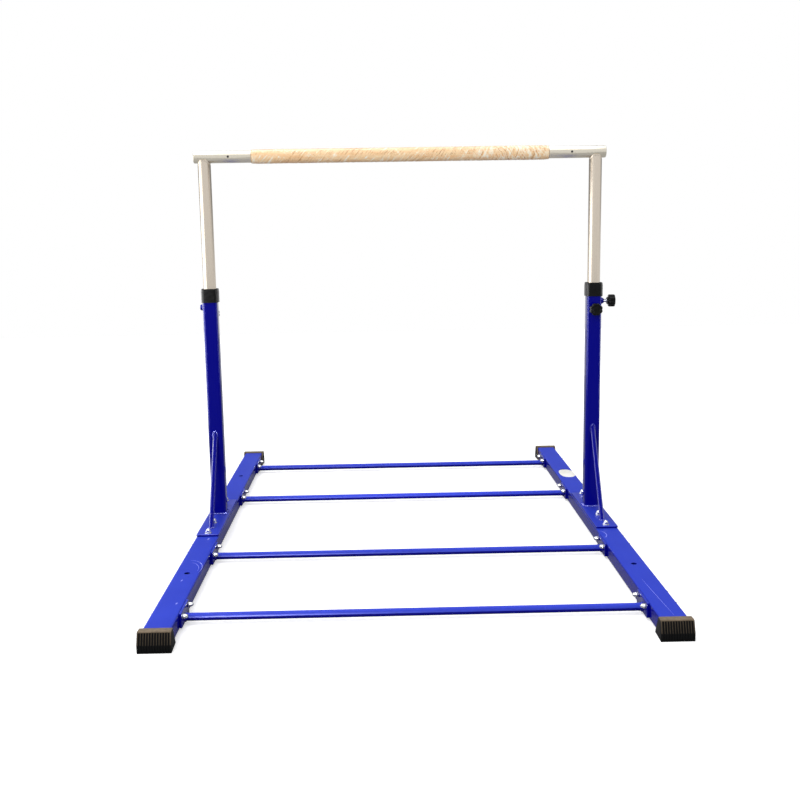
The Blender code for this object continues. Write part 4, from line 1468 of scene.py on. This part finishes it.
def noise_round(along: float, reach: float, turn: float, shift: float = 0.0) -> float:
    """Returns noise that runs along the bar and closes on itself round it.

    Args:
        along: The place along the bar, in the noise's own unit.
        reach: How fast the noise changes round the bar.
        turn: The angle round the bar.
        shift: A shift to another part of the noise.

    Returns:
        The noise, about from -1 to 1.
    """
    return noise.noise(Vector((along, reach * math.cos(turn), reach * math.sin(turn) + shift)))


def ridge(value: float, width: float) -> float:
    """Returns 1 where the value passes through 0, down to 0 at the width from it."""
    return max(0.0, 1 - abs(value) / width)


@dataclass
class Grip:
    """The bar's middle: the wooden grip and the film that is wound on it.

    Each of the film's pulls is how far its wrinkles turn round the bar along it, how
    close they stand along it and round it, how wide they are and how high.
    """

    edge: float = 1.2 * MM
    bore_inset: float = 3.3 * MM
    film_steps: int = 760
    film_sides: int = 84
    film_gap: float = 0.1 * MM
    crest_rise: float = 0.7 * MM
    tail_start: float = 0.58
    tail_length: float = 0.3
    tail_twist: float = 1.3
    start_length: float = 0.05
    pulls: tuple[tuple[float, float, float, float, float], ...] = (
        (46.0, 9.0, 2.4, 0.09, 0.9),
        (60.0, 16.0, 4.8, 0.13, 0.8),
        (40.0, 26.0, 7.0, 0.18, 0.6),
        (-30.0, 14.0, 3.6, 0.09, 0.6),
        (52.0, 11.0, 3.6, 0.18, -0.45),
        (44.0, 30.0, 8.0, 0.26, -0.35),
    )

    def build(self) -> None:
        """Builds the grip and the film."""
        self.build_wood()
        self.build_film()

    def build_wood(self) -> None:
        """Builds the wooden grip, its ends lightly rounded."""
        span = Span.of("bar_grip")
        radius, half = span.size.z / 2, span.size.x / 2
        bore = Span.of("left_bar_end_tube").size.z / 2 - self.bore_inset
        edge = self.edge
        right = [(radius, half - edge), (radius - 0.3 * edge, half - 0.3 * edge), (radius - edge, half)]
        profile = [*right, (bore, half), (bore, -half), *((r, -z) for r, z in reversed(right))]
        shape = moved(hollow(profile, 64), at(span.centre, (1, 0, 0)))
        place("grip_wood", shape, BEECH, BAR, ["bar_grip"])

    def wrinkle(self, x: float, turn: float) -> float:
        """Finds the film's height over the wood.

        The film is wound tight, so that thin pulled wrinkles run slantwise round the bar.
        Towards the right end they stand closer and steeper, until the tail is bunched up
        in folds that go straight round.

        Args:
            x: The place along the grip, from 0 at its left end to 1 at its right.
            turn: The angle round the bar.

        Returns:
            The height, from 0 in a crease to 1 on a crest.
        """
        tail = min(1.0, max(0.0, (x - self.tail_start) / self.tail_length))
        past = max(0.0, x - self.tail_start - self.tail_length)
        wound = x + self.tail_twist * (self.tail_length / 2 * tail**2 + past)
        height = 0.3
        for layer, (twist, along, around, width, gain) in enumerate(self.pulls):
            pull = ridge(noise_round(x * along, around, turn + twist * wound, 7.3 * layer), width)
            where = noise_round(x * 11, 1, turn, 3.1 * layer)
            height += gain * pull**1.5 * min(1.0, max(0.0, 0.6 + 2.0 * where + 0.4 * tail))
        bend = 0.012 * math.sin(turn + 0.6) + 0.008 * noise_round(x * 30, 1, turn)
        fold = noise_round((x + bend) * 140, 0.7, turn)
        height += tail**1.5 * (0.7 * ridge(fold, 0.28) ** 1.3 - 0.75 * max(0.0, fold - 0.05))
        start = max(0.0, 1 - x / self.start_length)
        height += start * 0.5 * ridge(noise_round(x * 170, 0.8, turn), 0.25)
        return min(1.0, max(0.0, height))

    def build_film(self) -> None:
        """Builds the wound film as a thin wrinkled skin over the grip."""
        span = Span.of("grip_film")
        inner = Span.of("bar_grip").size.z / 2 + self.film_gap
        rise = span.size.z / 2 - inner + self.crest_rise
        rings: list[Ring] = []
        heights: list[float] = []
        for i in range(self.film_steps + 1):
            share = i / self.film_steps
            close = min(1.0, min(share, 1 - share) * 60)
            z = (share - 0.5) * span.size.x
            row = [self.wrinkle(share, turn) for turn in turns(self.film_sides)]
            radii = [inner + rise * (0.1 + 0.9 * height) * close for height in row]
            rings.append([spoke(radius, turn, z) for radius, turn in zip(radii, turns(self.film_sides))])
            heights += row
        shape = moved(loft(rings, caps=False), at(span.centre, (1, 0, 0)))
        keep(place("film_winding", shape, FILM, BAR, ["grip_film"]), FILM.height, heights)


@dataclass
class BarEnd(Assembly):
    """An end of the bar: a polished tube with its plug, set screw and bar bolt."""

    body: ClassVar[str] = BAR
    wall: float = 3 * MM
    plug_edge: float = 3 * MM
    plug_depth: float = 15 * MM
    plug_radius: float = 11 * MM
    screw_radius: float = 3 * MM
    screw_rim: float = 0.4 * MM
    screw_key: float = 1.5 * MM
    screw_key_depth: float = 1.2 * MM
    head_radius: float = 7 * MM
    bolt_radius: float = 4 * MM
    bolt_key: float = 2.5 * MM
    bolt_key_depth: float = 3 * MM

    def build(self) -> None:
        """Builds the end, its tube first."""
        self.build_tube()
        self.build_plug()
        self.build_set_screw()
        self.build_bolt()

    def build_tube(self) -> None:
        """Builds the tube, drilled for the set screw and countersunk for the bolt."""
        span = self.span("bar_end_tube")
        radius, half = span.size.z / 2, span.size.x / 2
        tube = round_tube(radius, radius - self.wall, -half, half, 72)
        tube = moved(tube, at(span.centre, (1, 0, 0)))
        screw, bolt = self.span("set_screw").centre, self.span("bar_bolt").centre
        drill = rod(self.screw_radius + FIT, 0, radius + OVERRUN, 32)
        drill = moved(drill, at((screw.x, span.centre.y, span.centre.z), (0, -1, 0)))
        head, shank = self.head_radius + FIT, self.bolt_radius + FIT
        shaft = [(0, -radius), (shank, -radius), (shank, self.bolt_radius - head)]
        sink = turned([*shaft, (head, -FIT), (head, OVERRUN), (0, OVERRUN)], 40)
        sink = moved(sink, at((bolt.x, bolt.y, span.high.z)))
        tube = worked(tube, [(Job.CUT, drill), (Job.CUT, sink)], Edges(0.25 * MM, 2, 50))
        self.add("end_tube", tube, BAR_STEEL, "bar_end_tube")

    def build_plug(self) -> None:
        """Builds the plug in the bar's end, its rim rounded."""
        span, radius = self.span("bar_end_plug"), self.span("bar_end_tube").size.z / 2
        edge, shank, deep = self.plug_edge, self.plug_radius, -self.plug_depth
        rim = quarter((radius - edge, 0), (edge, edge), 6)[1:]
        profile = [(0, deep), (shank, deep), (shank, 0), (radius - 0.1 * MM, 0), *rim, (0, edge)]
        x = span.low.x + edge if self.side is Side.LEFT else span.high.x - edge
        seat = at((x, span.centre.y, span.centre.z), (self.side.value, 0, 0))
        self.add("plug", moved(turned(profile, 72), seat), BAR_STEEL, "bar_end_plug")

    def build_set_screw(self) -> None:
        """Builds the set screw at the front, with its hexagon socket."""
        span, axis = self.span("set_screw"), self.span("bar_end_tube").centre
        length, radius, rim = span.size.y, self.screw_radius, self.screw_rim
        profile = [(0, 0), (radius, 0), (radius, length - rim), (radius - rim, length), (0, length)]
        key = rod(self.screw_key, length - self.screw_key_depth, length + OVERRUN, 6)
        screw = worked(turned(profile, 32), [(Job.CUT, key)])
        screw = moved(screw, at((span.centre.x, span.high.y, axis.z), (0, -1, 0)))
        self.add("grub_screw", screw, DARK_ZINC, "set_screw")

    def build_bolt(self) -> None:
        """Builds the countersunk bolt that is let into the bar from above."""
        span = self.span("bar_bolt")
        low, high = span.low.z, span.high.z
        head, shank = self.head_radius, self.bolt_radius
        shaft = [(0, low), (shank, low), (shank, high - head + shank)]
        bolt = turned([*shaft, (head, high - 0.2 * MM), (head - 0.3 * MM, high), (0, high)], 40)
        key = rod(self.bolt_key, high - self.bolt_key_depth, high + OVERRUN, 6)
        stand = Matrix.Translation((span.centre.x, span.centre.y, 0))
        self.add("countersunk_bolt", moved(worked(bolt, [(Job.CUT, key)]), stand), ZINC, "bar_bolt")


@dataclass
class HandScrew:
    """A hand screw: a threaded rod with a fluted knob moulded on its end."""

    name: str
    direction: Triple
    rod_radius: float = 5 * MM
    rod_sides: int = 36
    point_length: float = 1.2 * MM
    point_share: float = 0.82
    pitch: float = 1.5 * MM
    steps_per_pitch: int = 8
    thread_depth: float = 0.8 * MM
    lobes: int = 8
    flute_depth: float = 2 * MM
    knob_radius: float = 19 * MM
    knob_edge: float = 3.2 * MM
    edge_steps: int = 5
    bore_radius: float = 5.4 * MM
    bore_depth: float = 6 * MM
    hub_radius: float = 10.5 * MM
    hub_length: float = 5 * MM
    sides: int = 128

    def build(self) -> None:
        """Builds the screw and the knob."""
        self.build_screw()
        self.build_knob()

    def ends(self, node: str) -> tuple[Vector, float]:
        """Finds how a node lies on the screw's axis.

        Args:
            node: The node's name.

        Returns:
            Where it starts, nearest the post, and its length.
        """
        span, way = Span.of(node), Vector(self.direction)
        half = abs(span.size.dot(way)) / 2
        return span.centre - way * half, 2 * half

    def build_screw(self) -> None:
        """Builds the threaded rod as one ring after another, shifted by the thread."""
        node = f"{self.name}_screw"
        start, length = self.ends(node)
        count = math.ceil(length / (self.pitch / self.steps_per_pitch))
        rings = []
        for i in range(count + 1):
            z = length * i / count
            taper = self.point_share + (1 - self.point_share) * min(1.0, z / self.point_length)
            ring = []
            for turn in turns(self.rod_sides):
                phase = (z / self.pitch - turn / math.tau) % 1
                groove = self.thread_depth * min(1.0, max(0.0, abs(2 * phase - 1) * 1.3 - 0.15))
                ring.append(spoke((self.rod_radius - groove) * taper, turn, z))
            rings.append(ring)
        place(f"{self.name}_thread", moved(loft(rings), at(start, self.direction)), ZINC, node, [node])

    def build_knob(self) -> None:
        """Builds the knob: a round hub, a fluted grip with soft edges and a dished face.

        Its profile holds radii, heights and how deep the flutes are there, from 0 to 1.
        """
        node = f"{self.name}_knob"
        start, length = self.ends(node)
        radius, soft, steps = self.knob_radius, self.knob_edge, self.edge_steps
        hub, hub_radius, bore = self.hub_length, self.hub_radius, self.bore_radius
        under = reversed(quarter((radius - soft, hub + soft), (soft, -soft), steps))
        over = quarter((radius - soft, length - soft), (soft, soft), steps)
        profile = [
            (bore, self.bore_depth, 0.0),
            (bore, 0.4 * MM, 0.0),
            (bore + 0.6 * MM, 0.0, 0.0),
            (hub_radius - 0.6 * MM, 0.0, 0.0),
            (hub_radius, 0.5 * MM, 0.0),
            (hub_radius + 0.3 * MM, hub - 1 * MM, 0.0),
            (hub_radius + 1.5 * MM, hub, 0.15),
            *((reach, z, 0.3 + 0.7 * i / steps) for i, (reach, z) in enumerate(under)),
            *((reach, z, 1 - 0.35 * i / steps) for i, (reach, z) in enumerate(over)),
            (radius * 0.66, length - 0.1 * MM, 0.3),
            (radius * 0.58, length - 0.9 * MM, 0.0),
            (radius * 0.52, length - 1.3 * MM, 0.0),
            (radius * 0.30, length - 1.0 * MM, 0.0),
            (radius * 0.02, length - 0.9 * MM, 0.0),
        ]
        rings = []
        for reach, z, depth in profile:
            ring = []
            for turn in turns(self.sides):
                wave = (1 - math.cos(self.lobes * turn)) / 2
                ring.append(spoke(reach - self.flute_depth * depth * (1 - wave) ** 2, turn, z))
            rings.append(ring)
        place(f"{self.name}_hand_knob", moved(loft(rings), at(start, self.direction)), NYLON, node, [node])


@dataclass
class Sticker:
    """A blank oval sticker on the right beam's top."""

    width: float = 52 * MM
    length: float = 112 * MM
    thickness: float = 0.25 * MM
    edge: float = 0.3 * MM
    squareness: float = 2.6
    from_middle: float = 472 * MM
    from_axis: float = 5 * MM
    sides: int = 96

    def build(self) -> None:
        """Builds the sticker on the enamel."""
        beam = Span.of("right_base_beam")
        around = [(self.full(math.cos(turn)), self.full(math.sin(turn))) for turn in turns(self.sides)]
        rings = []
        for shrink, z in ((0, 0), (0, self.thickness * 0.6), (self.edge, self.thickness)):
            width, length = self.width / 2 - shrink, self.length / 2 - shrink
            rings.append([Vector((width * x, length * y, z)) for x, y in around])
        centre = Vector((beam.centre.x + self.from_axis, beam.centre.y + self.from_middle, beam.high.z))
        place("blank_sticker", moved(loft(rings), Matrix.Translation(centre)), VINYL, BASE)

    def full(self, share: float) -> float:
        """Returns a sine or cosine made fuller, so that the oval swells towards its corners."""
        return math.copysign(abs(share) ** (2 / self.squareness), share)


@dataclass(frozen=True)
class Lamp:
    """An area lamp, which lights surfaces, or else a panel, which only gloss sees."""

    name: str
    spot: Triple
    target: Triple
    size: Pair
    power: float
    receivers: bpy.types.Collection | None = None
    panel: bool = True

    def build(self) -> None:
        """Adds the lamp to the scene, turned to its target."""
        data = bpy.data.lights.new(self.name, "AREA")
        data.shape = "RECTANGLE"
        data.size, data.size_y = self.size
        data.energy = self.power
        lamp = add_object(self.name, data)
        lamp.matrix_world = at(self.spot, Vector(self.spot) - Vector(self.target))
        lamp.visible_diffuse = not self.panel
        lamp.visible_glossy = self.panel
        lamp.visible_camera = False
        if self.receivers:
            lamp.light_linking.receiver_collection = self.receivers


@dataclass
class Studio:
    """The floor, the lamps and the camera."""

    camera_place: Triple = (-0.0804, -3.1053, 0.9197)
    yaw: float = -0.0175
    pitch: float = 0.1661
    roll: float = -0.0159
    lens: float = 46.56
    sensor: float = 36.0
    floor_size: float = 12.0
    floor_colour: str = "E7E7E7"
    floor_roughness: float = 0.9
    floor_glow: float = 0.6
    floor_gloss: float = 0.12
    bounce: float = 0.33
    ambient: float = 0.7
    gloss: float = 0.85
    gloss_behind: float = 0.25
    sun_spot: Triple = (-0.35, 0.25, 1.0)
    sun_strength: float = 1.2
    sun_angle: float = 35.0
    lamps: tuple[Lamp, ...] = (
        Lamp("front_softbox", (-1.2, -3.4, 2.4), (0, 0, 0.8), (2.0, 2.0), 62.0, panel=False),
        Lamp("left_wall", (-3.0, -0.1, 1.0), (0, -0.1, 1.0), (3.0, 2.0), 34.0),
        Lamp("ceiling", (-0.4, 0, 3.5), (-0.4, 0, 0), (4.4, 4.0), 70.0),
        Lamp("left_window", (-2.3, -0.8, 0.9), (0, -0.8, 0.9), (5.2, 1.8), 340.0, GLOSSY),
        Lamp("right_window", (2.6, 0, 1.2), (0, 0, 1.2), (2.0, 2.4), 90.0, GLOSSY),
        Lamp("back_window", (-0.1, 3.2, 0.5), (-0.1, 0, 0.5), (1.6, 1.0), 1.5, GLOSSY),
        Lamp("front_window", (-0.85, -2.2, 0.2), (-0.85, 0, 0.2), (0.8, 0.2), 300.0, CROSSBARS),
        Lamp("low_fill", (-0.02, -0.2, 0.16), (-0.02, 0.9, 0), (0.3, 0.3), 1.6, CROSSBARS, panel=False),
        Lamp("glint", (-0.5, -3.0, 2.2), (0, 0, 0.1), (1.0, 0.7), 220.0, SPARKLING),
    )

    def build(self) -> None:
        """Sets up the whole studio."""
        self.build_floor()
        self.build_world()
        self.build_overhead()
        for lamp in self.lamps:
            lamp.build()
        self.build_camera()
        bpy.context.scene.view_settings.view_transform = "Standard"

    def build_floor(self) -> None:
        """Builds a white floor that throws little light back at the stand."""
        half = self.floor_size / 2
        shape = bmesh.new()
        corners = ((-half, -half), (half, -half), (half, half), (-half, half))
        shape.faces.new([shape.verts.new((x, y, 0)) for x, y in corners])
        floor = add_shape("floor", shape)
        material = bpy.data.materials.new("studio_floor")
        nodes = Nodes.of(material, "Principled BSDF")
        gloss = nodes.reckon("MULTIPLY", nodes.ray("Glossy"), self.floor_gloss)
        seen = nodes.reckon("MAXIMUM", nodes.direct(), gloss)
        grey = (self.bounce, self.bounce, self.bounce, 1)
        colour = nodes.blend(seen, grey, self.floor_colour)
        nodes.give(Base_Color=colour, Roughness=self.floor_roughness, Specular_IOR_Level=0.0)
        nodes.give(Emission_Color=colour, Emission_Strength=nodes.reckon("MULTIPLY", seen, self.floor_glow))
        floor.data.materials.append(material)

    def build_world(self) -> None:
        """Lights the stand softly from all round, from a white studio with a shaded back.

        The camera sees plain white. Gloss sees the same studio a little darker, and
        darkest low down behind the stand, where the beams' tops reflect it.
        """
        world = bpy.data.worlds.new("studio")
        nodes = Nodes.of(world, "Background")
        around = add_node(nodes.tree, "TexCoord").outputs["Generated"]
        way = add_node(nodes.tree, "SeparateXYZ", {"Vector": around}).outputs
        band = nodes.reckon("MULTIPLY", nodes.ease(way["Z"], 0.6, 0.25), nodes.ease(way["Z"], 0.03, 0.09))
        shaded = nodes.reckon("MULTIPLY", nodes.ease(way["Y"], 0.1, 0.75), band)
        gloss = nodes.fade(shaded, self.gloss, self.gloss_behind)
        lit = nodes.fade(nodes.ray("Glossy"), self.ambient, gloss)
        nodes.give(Color="FFFFFF", Strength=nodes.fade(nodes.direct(), lit, 1.0))
        bpy.context.scene.world = world

    def build_overhead(self) -> None:
        """Builds the broad overhead light, which is as strong all over the floor."""
        data = bpy.data.lights.new("overhead", "SUN")
        data.energy = self.sun_strength
        data.angle = math.radians(self.sun_angle)
        add_object("overhead", data).matrix_world = at(Vector(self.sun_spot) * 3, self.sun_spot)

    def build_camera(self) -> None:
        """Sets the camera where the photograph was taken from."""
        data = bpy.data.cameras.new("camera")
        data.lens = self.lens
        data.sensor_width = self.sensor
        camera = add_object("camera", data)
        turn = Matrix.Rotation(self.yaw, 4, "Z") @ Matrix.Rotation(math.pi / 2 - self.pitch, 4, "X")
        turn = turn @ Matrix.Rotation(self.roll, 4, "Z")
        camera.matrix_world = Matrix.Translation(self.camera_place) @ turn
        bpy.context.scene.camera = camera


def bent(centre: Pair, reach: Pair, angles: Pair) -> tuple[Pair, ...]:
    """Draws part of an ellipse on a beam's top.

    Args:
        centre: The ellipse's middle.
        reach: Its half-axes.
        angles: The angles where the part starts and stops, in degrees.

    Returns:
        The points, in order.
    """
    steps = 16
    start, stop = angles
    turned_by = [math.radians(start + (stop - start) * i / steps) for i in range(steps + 1)]
    return tuple((centre[0] + reach[0] * math.cos(a), centre[1] + reach[1] * math.sin(a)) for a in turned_by)


def nick(start: Pair, length: float) -> tuple[Pair, ...]:
    """Returns the points of a short slanting line along a beam."""
    return tuple((start[0] + i * MM, start[1] + i * length / 2) for i in range(3))


def rubbed_marks_and_highlight() -> list[RubbedMarkAndHighlight]:
    """Lists the marks that handling has left on the beams' tops, and the painted highlight along the left
    plate's front edge.

    Returns:
        The marks and the highlight.
    """
    plate = Span.of("left_base_plate")
    steps = [(3 + 7.5 * i) * MM for i in range(10)]
    # Painted highlight: a pale line along the left plate's front top edge.
    edge = tuple((plate.low.x + x, plate.low.y + 2 * MM) for x in steps if x < plate.size.x)
    line = ((0.558, -0.649), (0.561, -0.72), (0.565, -0.80), (0.570, -0.892))
    right = "right_base_beam"
    return [
        RubbedMarkAndHighlight("left_plate_edge_highlight", edge, 2.4 * MM, under="left_base_plate"),
        RubbedMarkAndHighlight("left_crescent_outer", bent((-0.601, -0.497), (0.040, 0.071), (-25, 90))),
        RubbedMarkAndHighlight("left_crescent_inner", bent((-0.601, -0.505), (0.032, 0.060), (-10, 80)), 1.1 * MM),
        RubbedMarkAndHighlight("left_nick_near", nick((-0.579, -0.755), 12 * MM), 4 * MM),
        RubbedMarkAndHighlight("left_nick_middle", nick((-0.5975, -0.592), 12 * MM), 4 * MM),
        RubbedMarkAndHighlight("left_nick_far", nick((-0.587, -0.239), 14 * MM), 5 * MM),
        RubbedMarkAndHighlight("right_line", line, 1.0 * MM, under=right),
        RubbedMarkAndHighlight("right_crescent", bent((0.538, -0.266), (0.014, 0.032), (-80, 80)), 2 * MM, under=right),
    ]


def dress_inner_pieces() -> None:
    """Gives the CAD pieces that stay in the picture their finishes."""
    nylon = {side.named("riser_bush"): WHITE_NYLON for side in Side}
    for node, finish in ({"bar_core": BAR_STEEL} | nylon).items():
        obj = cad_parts[node]
        obj.data.materials.clear()
        obj.data.materials.append(finish.material())


def main() -> None:
    """Builds every piece of the stand, then the studio."""
    logging.basicConfig(level=logging.INFO, format="%(name)s %(message)s")
    for side in Side:
        BaseBeam(side).build()
        for end in End:
            EndCap(side, end).build()
        Post(side).build()
        Riser(side).build()
    for name in ("front_outer", "front_inner", "rear_inner", "rear_outer"):
        Crossbar(name).build()
    Grip().build()
    for side in Side:
        BarEnd(side).build()
    HandScrew("right_locating", (1, 0, 0)).build()
    HandScrew("right_clamp", (0, -1, 0)).build()
    HandScrew("left_clamp", (0, 1, 0)).build()
    Sticker().build()
    for mark in rubbed_marks_and_highlight():
        mark.build()
    dress_inner_pieces()
    Studio().build()


if __name__ == "__main__":
    main()
